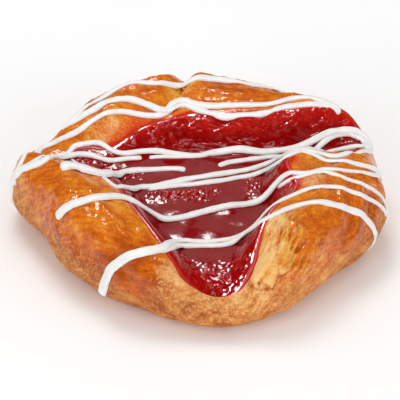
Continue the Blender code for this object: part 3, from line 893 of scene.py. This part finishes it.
def whole(values, before=0.0, after=0.0):
    """Paint for every ring: the crust's own values, and plain ones for the bed and the base."""
    rows = values.shape[0]
    tail = values.shape[2:]
    bed_values = np.full((rows, BED_RINGS) + tail, before)
    base_values = np.full((rows, len(base_shares)) + tail, after)
    return np.concatenate([bed_values, values, base_values], axis=1)


crust = dressed_piece(
    "crust",
    crust_grid,
    ["pastry"],
    {
        "bake_and_shade": whole(bake_and_shade, 0.2, 0.5),
        "glaze": whole(glaze),
        "stain": whole(stain, 1.0),
        "rough": whole(rough),
        "layers": whole(LAYERS * MM),
    },
)

# %% [markdown]
# ## The crust's finish
#
# The colour is mixed from two sets: dull dough and glazed dough, each from pale to brown. The bake mask,
# with the painted shade and light that it carries, picks the place in the set, after streaks that follow the
# layers and a fine mottle have shifted it. Mixing two such sets keeps a pale glazed spot orange and a pale
# dull spot straw, which one set can't do. The glaze also makes the crust smoother, so the same mask drives
# the roughness. A little bump adds the crumb that is too fine for the mesh. Where the filling seeped in, the
# dough goes orange, then red.

# %% Colours of the crust
DULL_DOUGH = (  # place in the bake, colour
    (0.0, (0.88, 0.55, 0.22)),
    (0.4, (0.70, 0.28, 0.072)),
    (0.7, (0.53, 0.165, 0.035)),
    (1.0, (0.34, 0.080, 0.016)),
)
GLAZED_DOUGH = (
    (0.0, (0.84, 0.40, 0.050)),
    (0.4, (0.71, 0.188, 0.009)),
    (0.7, (0.59, 0.110, 0.004)),
    (1.0, (0.40, 0.065, 0.003)),
)
GUAVA_STAIN = (  # place in the stain, colour
    (0.2, (0.78, 0.23, 0.050)),
    (0.55, (0.72, 0.11, 0.022)),
    (0.95, (0.58, 0.030, 0.008)),
)
PALE_CRUMB = (0.84, 0.50, 0.20, 1.0)
DULL_ROUGHNESS, GLAZED_ROUGHNESS = 0.75, 0.11
CRUMB_DEPTH = 0.3 * MM
print("the glaze goes from", DULL_ROUGHNESS, "to", GLAZED_ROUGHNESS, "in roughness")

# %% Paint the crust
dough = Finish("crust_finish")
object_place = dough.node("TexCoord").outputs[PLACE]
layer_place = dough.node("Attribute", {"attribute_name": "layers"}).outputs["Vector"]
streaks = dough.grain(layer_place, 1.3, detail=4.0, stretch=(0.3, 0.3, 1.0))
patches = dough.grain(object_place, 4.0, detail=5.0)
speckle = dough.grain(object_place, 0.6, detail=3.0)
crumbs = dough.grain(object_place, 0.9, detail=3.0)
roughened = dough.painted("rough")


def shifted(value, noise_fac, amount):
    """A value moved up and down by noise."""
    return dough.sum("MULTIPLY_ADD", dough.sum("SUBTRACT", noise_fac, 0.5), amount, value)


glazed = dough.range(shifted(shifted(dough.painted("glaze"), patches, 1.2), streaks, 0.6), 0.25, 0.75)
# the bake mask with its painted shade and light, shifted by streaks, patches and speckle
baked_and_shaded = shifted(shifted(shifted(dough.painted("bake_and_shade"), streaks, 1.1), patches, 1.2), speckle, 1.0)
crumb = dough.mix(glazed, dough.ramp(baked_and_shaded, DULL_DOUGH), dough.ramp(baked_and_shaded, GLAZED_DOUGH))
more_where_rough = dough.sum("MULTIPLY_ADD", roughened, 0.5, 0.08)
pale_crumbs = dough.sum("MULTIPLY", dough.range(crumbs, 0.48, 0.66), more_where_rough)
crumb = dough.mix(pale_crumbs, crumb, PALE_CRUMB)
stained = shifted(dough.painted("stain"), speckle, 1.0)
juice = dough.ramp(stained, GUAVA_STAIN)
reddened = dough.mix(dough.range(stained, 0.10, 0.55), crumb, juice)
dough.feed(dough.shader.inputs["Base Color"], reddened)
polished = dough.range(glazed, 0.0, 1.0, DULL_ROUGHNESS, GLAZED_ROUGHNESS)
dough.feed(dough.shader.inputs["Roughness"], shifted(polished, patches, 0.2))
dough.shader.inputs["IOR"].default_value = 1.45
dough.shader.inputs["Specular IOR Level"].default_value = 0.4
surface = dough.sum("MULTIPLY_ADD", speckle, 0.6, dough.sum("MULTIPLY", crumbs, 0.8))
bump = dough.node("Bump", Height=surface, Distance=CRUMB_DEPTH)
dough.feed(bump.inputs["Strength"], dough.range(roughened, 0.0, 1.0, 0.35, 0.8))
dough.feed(dough.shader.inputs["Normal"], bump.outputs[0])
crust.data.materials.append(dough.material)
print("crust painted")

# %% [markdown]
# ## The guava filling
#
# Boiled guava sets to a soft gel. Level parts are smooth and catch a haze of light, the banks hold long
# folds from spreading, and there are rough patches of fruit grains, most of all in the front arm. A low
# uneven bead stands up along the edge, where the gel drew back from the dough. Fluid simulation could make a
# pool, but not one that set; here each kind of relief is noise in a mask of its own, on the pool's height.
# The grains come from Voronoi noise: each is a small dome, so each mirrors the light as one glint.

# %% Where the filling differs, in millimetres
GRAINY = (  # place, reach
    ((-9, -7, 18), (7, 3, 9)),
    ((0, -6, 18), (5, 3, 9)),
    ((16, -3, 18), (3, 5, 9)),
    ((-22, 3, 18), (4, 2, 9)),
    ((-33, 8, 19), (6, 3, 9)),
    ((-9, 19, 22), (6, 3, 9)),
    ((-5, -40, 16), (4, 6, 9)),
    ((11, -41, 16), (4, 8, 9)),
    ((4, -44, 12), (9, 6, 9)),
    ((26, -11, 25), (4, 5, 9)),
    ((42, 23, 25), (9, 5, 9)),
    ((22, 23, 26), (14, 3, 9)),
    ((3, 22, 25), (9, 2, 9)),
)
THIN = (  # place, reach, how bright the thin gel is at the edge
    ((44, 24, 25), 10, 1.0),
    ((25, 24, 27), 14, 1.0),
    ((5, 24, 27), 12, 0.9),
    ((-14, 21, 25), 9, 0.6),
    ((15, -42, 17), 8, 1.0),
    ((17, -34, 22), 8, 0.9),
    ((6, -48, 11), 8, 1.0),
    ((-6, -44, 16), 6, 0.6),
    ((27, -12, 25), 8, 0.6),
    ((-36, 11, 20), 9, 0.4),
)
HOLLOWS = (  # place, reach of the dark dips in the back bank
    ((30, 21, 22), (6, 3, 3)),
    ((39, 21, 22), (5, 3, 3)),
    ((-7, 20, 22), (5, 3, 3)),
)
GLOWING = ((27, -7, 24), (4, 7, 8))  # place, reach of a thin smear on the right flap
print(len(GRAINY), "grainy patches and", len(HOLLOWS), "hollows")

# %% The plan of the filling's top
POOL_RINGS = 140
CLOSER_AT_THE_EDGE = 0.8  # below 1, so that the rings lie closer there
BACK_FROM, BACK_FADE = 12.0, 6.0  # y where the back bank starts


def grains(places, spacing):
    """Small round grains at random, 0 to 1 high, about as far apart as the spacing in millimetres."""
    nearest = [noise.voronoi(Vector(place))[0][0] for place in (places / spacing).reshape(-1, 3)]
    return np.clip(1 - (2 * np.array(nearest).reshape(places.shape[:-1])) ** 2, 0, 1)


pool_share = (np.arange(POOL_RINGS) / POOL_RINGS) ** CLOSER_AT_THE_EDGE
pool_plan = HOLLOW_CENTRE + (LIP[:, None, :2] - HOLLOW_CENTRE) * pool_share[:, None]
top, edge_away = filling_top(pool_plan)
pool_at = np.concatenate([pool_plan, top[..., None]], axis=-1)
grainy = np.clip(sum(near(pool_at, spot, reach) for spot, reach in GRAINY), 0, 1)
thin = np.clip(sum(amount * near(pool_at, spot, reach) for spot, reach, amount in THIN), 0, 1)
on_back = smooth((pool_at[..., 1] - BACK_FROM) / BACK_FADE)
edge_steps = np.linalg.norm(np.diff(LIP[:, :2], axis=0, append=LIP[:1, :2]), axis=1)
edge_run = np.broadcast_to(np.cumsum(edge_steps)[:, None], edge_away.shape)
beside_edge = np.stack([edge_run, edge_away, np.zeros_like(edge_away)], axis=-1)
joint_away = np.minimum(edge_run, edge_run[::-1])
print("the filling's top has", pool_at.shape[0], "columns by", pool_at.shape[1], "rings")

# %% The relief of the filling
FOLD_HEIGHT, FOLD_SIZE = 1.9, (5.5, 2.8, 2.8)
PLEAT_HEIGHT, PLEAT_SIZE = 0.5, (2.6, 1.4, 1.4)
FOLDS_FROM, FOLDS_FADE = 17.8, 2.5  # heights, so that the pool below stays level
JOINT_FADE = 6.0  # beside the first column, where the run along the edge starts again
WALL_FROM, WALL_FADE = 20.5, 3.5  # heights where the gel is thin on the pale dough
COARSE_GRAIN, COARSE_SPACING = 0.34, 1.9
SMALL_GRAIN, SMALL_SPACING = 0.26, 1.1
WALL_GRAIN = 0.34
CRUMPLE_HEIGHT, CRUMPLE_SIZE = 0.5, 1.4
CRUMPLED_FROM, CRUMPLED_FADE = -25.0, 5.0  # y, because the front arm has clean round grains
BEAD_WIDTH = 2.0
HUG_WIDTH = 1.1  # within which the gel climbs from the dough to its own thickness

folds = FOLD_HEIGHT * lumps(pool_at, FOLD_SIZE, seed=21) + PLEAT_HEIGHT * lumps(pool_at, PLEAT_SIZE, seed=26)
folds *= on_back * smooth(joint_away / JOINT_FADE) * smooth((pool_at[..., 2] - FOLDS_FROM) / FOLDS_FADE)
hollows = np.clip(sum(near(pool_at, spot, reach) for spot, reach in HOLLOWS), 0, 1)
high_up = smooth((pool_at[..., 2] - WALL_FROM) / WALL_FADE)
wall = on_back * high_up * smooth(0.7 + 0.6 * folds) * (1 - hollows)
wall = np.maximum(wall, 0.8 * near(pool_at, *GLOWING))
small_grains = grains(pool_at, SMALL_SPACING)
pulp = grainy * (COARSE_GRAIN * grains(pool_at, COARSE_SPACING) + SMALL_GRAIN * small_grains)
pulp += WALL_GRAIN * wall * on_back * small_grains
crumpled = grainy * smooth((pool_at[..., 1] - CRUMPLED_FROM) / CRUMPLED_FADE)
crumple = CRUMPLE_HEIGHT * crumpled * lumps(pool_at, CRUMPLE_SIZE, seed=22)
ripples = 0.10 * lumps(pool_at, (7.0, 3.0, 5.0), seed=24) + 0.04 * lumps(pool_at, 1.8, seed=25)
bead_height = (0.02 + 0.12 * thin) * (1 + 1.1 * lumps(beside_edge, (5.0, 50.0, 1.0), seed=27))
bead = bead_height * np.sin(pi * np.clip(edge_away / BEAD_WIDTH, 0, 1))
hug = (0.12 + 0.12 * thin) * (1 - np.exp(-edge_away / HUG_WIDTH))
inside = smooth(edge_away / BEAD_WIDTH)
pool_at[..., 2] = top + hug + bead + (folds + pulp + crumple + ripples) * inside
print("filling from", round(pool_at[..., 2].min(), 1), "to", round(pool_at[..., 2].max(), 1), "mm high")

# %% Close the filling and make it
UNDER_SHARES = np.array([0.97, 0.85, 0.6, 0.3])  # from the middle of the hollow to its edge
EDGE_TUCK = 0.08  # how far the edge lies below the crust's, so that no gap shows
ABOVE_THE_BED = 0.3

edge_ring = LIP[:, None] - (0, 0, EDGE_TUCK)
under_plan = HOLLOW_CENTRE + (LIP[:, None, :2] - HOLLOW_CENTRE) * UNDER_SHARES[:, None]
under_ring = np.concatenate([under_plan, bed(under_plan)[..., None] + ABOVE_THE_BED], axis=-1)
lowest = float(bed(HOLLOW_CENTRE[None])[0]) + ABOVE_THE_BED
bottom = np.broadcast_to([*HOLLOW_CENTRE, lowest], (len(LIP), 1, 3))
filling_grid = np.concatenate([pool_at, edge_ring, under_ring, bottom], axis=1)


def filled(values, rest):
    """Paint for every ring of the filling: the top's own values, and plain ones for the underside."""
    below = filling_grid.shape[1] - values.shape[1]
    return np.concatenate([values, np.full((len(values), below), rest)], axis=1)


DEEPER_IN_A_HOLLOW = 6.0  # mm added to the distance from the edge, which the colour follows
guava = dressed_piece(
    "guava",
    filling_grid,
    ["guava_filling"],
    {
        "away": filled(edge_away + DEEPER_IN_A_HOLLOW * hollows, 0.0),
        "wall": filled(wall, 0.0),
        "thin": filled(thin, 0.0),
        "pulp": filled(pulp, 0.0),
    },
)

# %% [markdown]
# ## The filling's finish
#
# The gel lets light in. Where it is deep the light is lost and it looks dark crimson; where it lies thin on
# the pale dough, near its edge and up the back wall, it glows red. Real scattering inside a thin gel is slow
# to render and the export can't keep it, so depth is painted instead: the distance from the edge picks the
# colour. Low roughness does the rest, because a wet surface is read from its highlights. Only the rim has
# begun to dry, so it is rougher. At the end the wet skin is linked to the lights that are for it alone.

# %% Colours of the filling
GEL = (  # place from the edge to the deep, colour
    (0.0, (0.38, 0.003, 0.003)),
    (0.4, (0.29, 0.0012, 0.0015)),
    (1.0, (0.24, 0.001, 0.0015)),
)
GLOWING_RED = (0.56, 0.014, 0.007, 1.0)
SEED_RED = (0.42, 0.004, 0.004, 1.0)
LIT_PULP_RED = (0.50, 0.010, 0.006, 1.0)
RIM_RED = (0.58, 0.022, 0.008, 1.0)
DEEP_FROM_THE_EDGE = 8.0  # mm
DRIED_RIM = 0.28  # roughness added there
SKIN_DEPTH = 0.2 * MM
print("the gel is darkest from", DEEP_FROM_THE_EDGE, "mm in")

# %% Paint the filling
gel = Finish("guava_finish")
object_place = gel.node("TexCoord").outputs[PLACE]
from_edge = gel.painted("away")
blotch = gel.grain(object_place, 5.0, detail=4.0)
seeds = gel.grain(object_place, 0.8, detail=2.0)
wander = gel.sum("MULTIPLY", gel.sum("SUBTRACT", blotch, 0.5), 4.0)
deep = gel.range(gel.sum("ADD", wander, from_edge), 0.0, DEEP_FROM_THE_EDGE)
body = gel.ramp(deep, GEL)
on_wall = gel.sum("MULTIPLY", gel.painted("wall"), gel.range(seeds, 0.38, 0.58, 0.25, 1.0))
body = gel.mix(on_wall, body, GLOWING_RED)
body = gel.mix(gel.range(seeds, 0.55, 0.75, 0.0, 0.5), body, SEED_RED)
# Grains go a brighter red: partly the fruit's own colour, partly painted light on grains that catch it.
body = gel.mix(gel.range(gel.painted("pulp"), 0.0, 0.3, 0.0, 0.6), body, LIT_PULP_RED)
rim_share = gel.range(gel.sum("MULTIPLY_ADD", wander, 0.35, from_edge), 0.3, 1.3, 1.0, 0.0)
thin_rim = gel.sum("MULTIPLY", gel.painted("thin"), rim_share)
body = gel.mix(thin_rim, body, RIM_RED)
gel.feed(gel.shader.inputs["Base Color"], body)
wet_skin = gel.range(blotch, 0.3, 0.7, 0.05, 0.13)
gel.feed(gel.shader.inputs["Roughness"], gel.sum("MULTIPLY_ADD", rim_share, DRIED_RIM, wet_skin))
gel.shader.inputs["IOR"].default_value = 1.45
gel.shader.inputs["Specular IOR Level"].default_value = 0.42
skin = gel.node("Bump", Height=seeds, Distance=SKIN_DEPTH, Strength=0.12)
gel.feed(gel.shader.inputs["Normal"], skin.outputs[0])
guava.data.materials.append(gel.material)

wet = bpy.data.collections.new("wet")
wet.objects.link(guava)
for card in WET_CARDS:
    card.light_linking.receiver_collection = wet
print("filling painted")

# %% [markdown]
# ## The icing
#
# Icing was drizzled from a bag in quick sweeps from side to side. A strand falls until it touches the
# danish, and follows it: up over a flap, across the gap at its edge, and through the pool. We list where
# each sweep passed and how thick it ran, drop close points along it on the dressed crust and filling,
# smooth the path a little, because icing is stiff, and sweep a flattened round along it. Past the rim the
# strand has to run down the side, so the drops fall along lines that fan out from a point below.

# %% Where the icing was drizzled
FAN_TOP = 25.0
FAN_CENTRE = -40.0
STRANDS = (  # widths from start to end, then the points passed, from left to right, at the fan's top
    (
        (2.0, 1.9, 1.9, 2.4, 2.4, 1.8),
        ((-44.5, 22), (-38, 22), (-34.5, 23), (-30, 26), (-21.5, 32), (-14.5, 32), (-10.5, 32.5),
         (-6, 36), (-2.5, 34.5), (4.5, 35), (12.5, 35), (17.5, 36), (23, 38), (26.5, 35.5)),
    ),
    (
        (1.9, 2.2, 2.5, 2.6, 2.4, 2.4, 2.0),
        ((-43, 22), (-37.5, 21), (-32, 21.5), (-30, 22), (-25.5, 25), (-16, 25.5), (-11, 25),
         (-8.5, 28.5), (-7, 29), (-3.5, 26.5), (3, 25), (9.5, 25), (18, 25.5), (22, 26.5), (27, 29),
         (31, 29), (35.5, 27.5), (43, 26)),
    ),
    (
        (2.0, 2.2, 1.6, 2.0, 2.6, 2.2, 2.2, 2.2),
        ((-54.5, 9), (-54, 16), (-48, 18.2), (-38.5, 18), (-24, 22.5), (-13, 23.5), (-8, 26.5),
         (0, 24), (3.5, 22), (11.5, 21), (20, 22), (23.5, 24), (27.5, 25), (36.5, 26), (43, 25)),
    ),
    (
        (2.2, 1.8, 1.8, 1.7, 2.0, 2.4, 2.4, 2.2, 2.4, 2.4),
        ((-66, 1.5), (-61.5, 1), (-55, 3), (-50.5, 10), (-46, 12), (-44, 12.5), (-42, 15),
         (-38, 16), (-32.5, 16), (-29, 13.5), (-25, 13), (-18, 15.5), (-10, 16.5), (-0.5, 14.5),
         (6, 17), (28, 18), (44, 23), (47.5, 23.5), (55, 23.5), (57, 22.5), (58, 20.5), (57.5, 16.5)),
    ),
    (
        (1.4, 1.4),
        ((-57, 0.5), (-49, 0), (-46, 2)),
    ),
    (
        (2.6, 2.8, 2.6, 2.2, 1.9, 1.6),
        ((-77.5, 2), (-76, 4), (-70, 4), (-67.5, 3.5), (-61, 0.5), (-57.5, -0.5), (-46, -1.5),
         (-45, 3), (-44.5, 10.5), (-37.5, 12), (-32, 10), (-28, 10.5), (-20, 13)),
    ),
    (
        (1.6, 1.6),
        ((-17.5, 13.5), (-10.5, 15), (-1.5, 14)),
    ),
    (
        (4.4, 4.2, 2.7, 2.4, 2.3),
        ((-40.5, -6.5), (-36.5, -5.5), (-31, -7), (-28.5, -5.5), (-27.5, 3), (-24, 5.5), (-18, 6),
         (-12, 7), (-5, 6.5)),
    ),
    (
        (1.0, 1.6),
        ((-43, 10), (-38, 1), (-34, -4.5)),
    ),
    (
        (1.6, 2.4, 2.4, 2.2, 2.2, 2.0, 2.0, 2.2),
        ((-29.5, -7.5), (-25.5, -13), (-24, -12.5), (-21, -4.5), (-15, -3.5), (-4.5, 1), (3.5, 2.5),
         (11, 5.5), (17.5, 7), (22, 9), (26, 9.5), (28, 5), (34, 8), (42, 20.5), (47, 23), (51, 23),
         (55.5, 22), (56, 19.5), (55.5, 14.5)),
    ),
    (
        (2.0, 2.2, 2.0, 2.0, 1.8, 2.0, 2.2),
        ((-17.5, -5), (-15, -5), (-7, -2.5), (5.5, -1), (12, 2), (17.5, 3), (22, 4), (24.5, 0.5),
         (29.5, 4), (38, 8.5), (43.5, 15.5), (45.5, 17), (50, 17.5), (54.5, 17), (56.5, 15)),
    ),
    (
        (2.0, 2.2, 2.2, 1.9, 1.9, 2.2),
        ((6.5, 8.5), (11, 11.5), (21, 14), (26.5, 14), (31, 6), (36, 3), (38.5, 0.5), (43.5, 2),
         (51.5, 10), (55, 12.5), (58, 15)),
    ),
    (
        (1.6, 1.6, 1.8, 2.2),
        ((30, 4.5), (34.5, 2), (36.5, -1.5), (39.5, -2), (46.5, -3), (56.5, -1), (59, -1.5)),
    ),
    (
        (3.0, 3.1, 3.0, 2.4, 2.3, 2.3, 2.4, 2.0, 1.7, 1.7, 2.0),
        ((-45, -25), (-29.5, -23), (-23, -20), (-18.5, -20.5), (-11.5, -21), (-7.5, -20.5),
         (-3.5, -19.5), (3.5, -16), (17.5, -12.5), (22.5, -10.5), (25, -7.5), (28.5, -8.5),
         (32.5, -8.5), (36.5, -6.5), (40, -7.5), (50, -6), (54, -4.5), (58.5, -1.5)),
    ),
    (
        (1.5, 1.6, 1.7, 1.9),
        ((24.5, -9.5), (28, -10.5), (36, -8), (39.5, -10.5), (47.5, -12), (58, -10), (66.5, -12.5),
         (74, -13)),
    ),
    (
        (2.8, 3.0, 2.9, 1.7, 1.6, 1.6, 1.7, 1.7, 1.8),
        ((-42, -58.5), (-37.5, -56), (-33.5, -52.5), (-26.5, -48), (-14.5, -44), (-10.5, -41),
         (-9, -34), (-5.5, -32), (2, -32.5), (15, -30), (21, -23.5), (27.5, -19), (32, -16.5),
         (38.5, -16), (48, -17), (55.5, -15.5), (67.5, -15)),
    ),
    (
        (2.2, 2.0, 1.9, 1.7, 2.2, 2.3, 1.8, 1.8),
        ((-12.5, -43.5), (-9.5, -41.5), (-6.5, -35.5), (7.5, -34.5), (15, -32), (20, -29.5),
         (29.5, -24.5), (41, -24), (46.5, -23.5), (54, -23.5), (64, -25), (74.5, -24.5)),
    ),
)
print(len(STRANDS), "strands to sweep")

# %% Drop the icing
STRAND_STEP = 0.6
CURVE_STEPS = 8  # short pieces between two points of a strand
STIFFNESS = 5  # how many times the corners are rounded
TAUT = 16  # how many times the dips are bridged


def surface_of(piece):
    """A piece's faces, ready for rays to be cast at them."""
    mesh = piece.data
    return BVHTree.FromPolygons([point.co for point in mesh.vertices], [face.vertices for face in mesh.polygons])


surfaces = [surface_of(piece) for piece in (crust, guava)]


def landed(x, y):
    """Where icing dropped at x, y comes to rest, and the way the surface faces; None past the danish."""
    source = Vector((x, y, FAN_TOP)) + Vector((x, y, FAN_TOP - FAN_CENTRE))
    direction = Vector((-x, -y, FAN_CENTRE - FAN_TOP)).normalized()
    hits = [tree.ray_cast(source * MM, direction) for tree in surfaces]
    hits = [hit for hit in hits if hit[0] is not None]
    if not hits:
        return None
    place, facing, _, _ = min(hits, key=lambda hit: hit[3])
    return (*(place / MM), *facing)


def stretched(rows):
    """The path with its dips bridged and its corners rounded, because icing is stiff; the ends are kept."""
    for _ in range(TAUT):
        level = (rows[:-2, 2] + rows[2:, 2]) / 2
        rows[1:-1, 2] = np.maximum(rows[1:-1, 2], level)
    for _ in range(STIFFNESS):
        rows[1:-1] = 0.5 * rows[1:-1] + 0.25 * (rows[:-2] + rows[2:])
    return rows


def strand_path(points):
    """The resting path of one strand: places, and ways that the surface faces."""
    knots = np.array([points[0], *points, points[-1]], float)
    line = through(knots, CURVE_STEPS)
    count = round(part_way(line, np.zeros(1))[1] / STRAND_STEP)
    over = part_way(line, np.linspace(0, 1, count))[0]
    rest = stretched(np.array([spot for spot in (landed(*place) for place in over) if spot]))
    rest[:, 3:] /= np.linalg.norm(rest[:, 3:], axis=1, keepdims=True)
    return rest[:, :3], rest[:, 3:]


print("icing falls on", len(surfaces), "pieces")

# %% Sweep the strands
STRAND_SIDES = 14
FLATNESS = 0.46  # a strand's height as a share of its width
SUNK = 0.3
BLUNT_END = 0.15

def strand_grid(widths, points, seed):
    """One strand as places by side and ring, its two ends rounded off."""
    path, facing = strand_path(points)
    ahead = np.gradient(path, axis=0)
    ahead /= np.linalg.norm(ahead, axis=1, keepdims=True)
    sideways = np.cross(facing, ahead)
    sideways /= np.linalg.norm(sideways, axis=1, keepdims=True)
    upward = np.cross(ahead, sideways)
    run = np.arange(len(path)) * STRAND_STEP
    width = np.interp(np.linspace(0, 1, len(path)), np.linspace(0, 1, len(widths)), widths)
    width = width * (1 + 0.10 * lumps(path, 4.0, seed) + 0.05 * lumps(path, 1.4, seed))
    from_end = np.minimum(run, run[::-1]) / (0.5 * width)
    width = width * np.sqrt(np.clip(1 - (1 - np.clip(from_end + BLUNT_END, 0, 1)) ** 2, 0.0, 1.0))
    middle = path + upward * (FLATNESS * width / 2 - SUNK)[:, None]
    turn = np.arange(STRAND_SIDES) / STRAND_SIDES * 2 * pi
    body = middle + width[:, None] / 2 * (
        np.cos(turn)[:, None, None] * sideways + FLATNESS * np.sin(turn)[:, None, None] * upward
    )
    ends = np.broadcast_to(middle[[0, -1]], (STRAND_SIDES, 2, 3))
    return np.concatenate([ends[:, :1], body, ends[:, 1:]], axis=1)


def joined(name, pieces):
    """Several pieces made one object."""
    with bpy.context.temp_override(active_object=pieces[0], selected_editable_objects=pieces):
        bpy.ops.object.join()
    pieces[0].name = name
    return pieces[0]


strands = [
    dressed_piece(
        "strand_%02d" % row,
        strand_grid(widths, points, row),
        ["pastry", "guava_filling"],
    )
    for row, (widths, points) in enumerate(STRANDS)
]
icing = joined("icing", strands)
print("icing:", len(STRANDS), "strands,", len(icing.data.polygons), "faces")

# %% [markdown]
# ## The icing's finish
#
# Sugar icing is opaque and off-white, with a soft shine where its skin dried smooth. Pure white would
# look like paint, so it is a little grey and warm, and slightly uneven.

# %% Paint the icing
SUGAR_WHITE = (  # place in the noise, colour
    (0.35, (0.82, 0.805, 0.785)),
    (0.65, (0.87, 0.86, 0.845)),
)

sugar = Finish("icing_finish")
object_place = sugar.node("TexCoord").outputs[PLACE]
drying = sugar.grain(object_place, 2.5, detail=3.0)
sugar.feed(sugar.shader.inputs["Base Color"], sugar.ramp(drying, SUGAR_WHITE))
sugar.feed(sugar.shader.inputs["Roughness"], sugar.range(drying, 0.3, 0.7, 0.42, 0.58))
sugar.shader.inputs["Specular IOR Level"].default_value = 0.3
skin = sugar.node("Bump", Height=sugar.grain(object_place, 0.9), Distance=0.15 * MM, Strength=0.5)
sugar.feed(sugar.shader.inputs["Normal"], skin.outputs[0])
icing.data.materials.append(sugar.material)
print("icing painted")
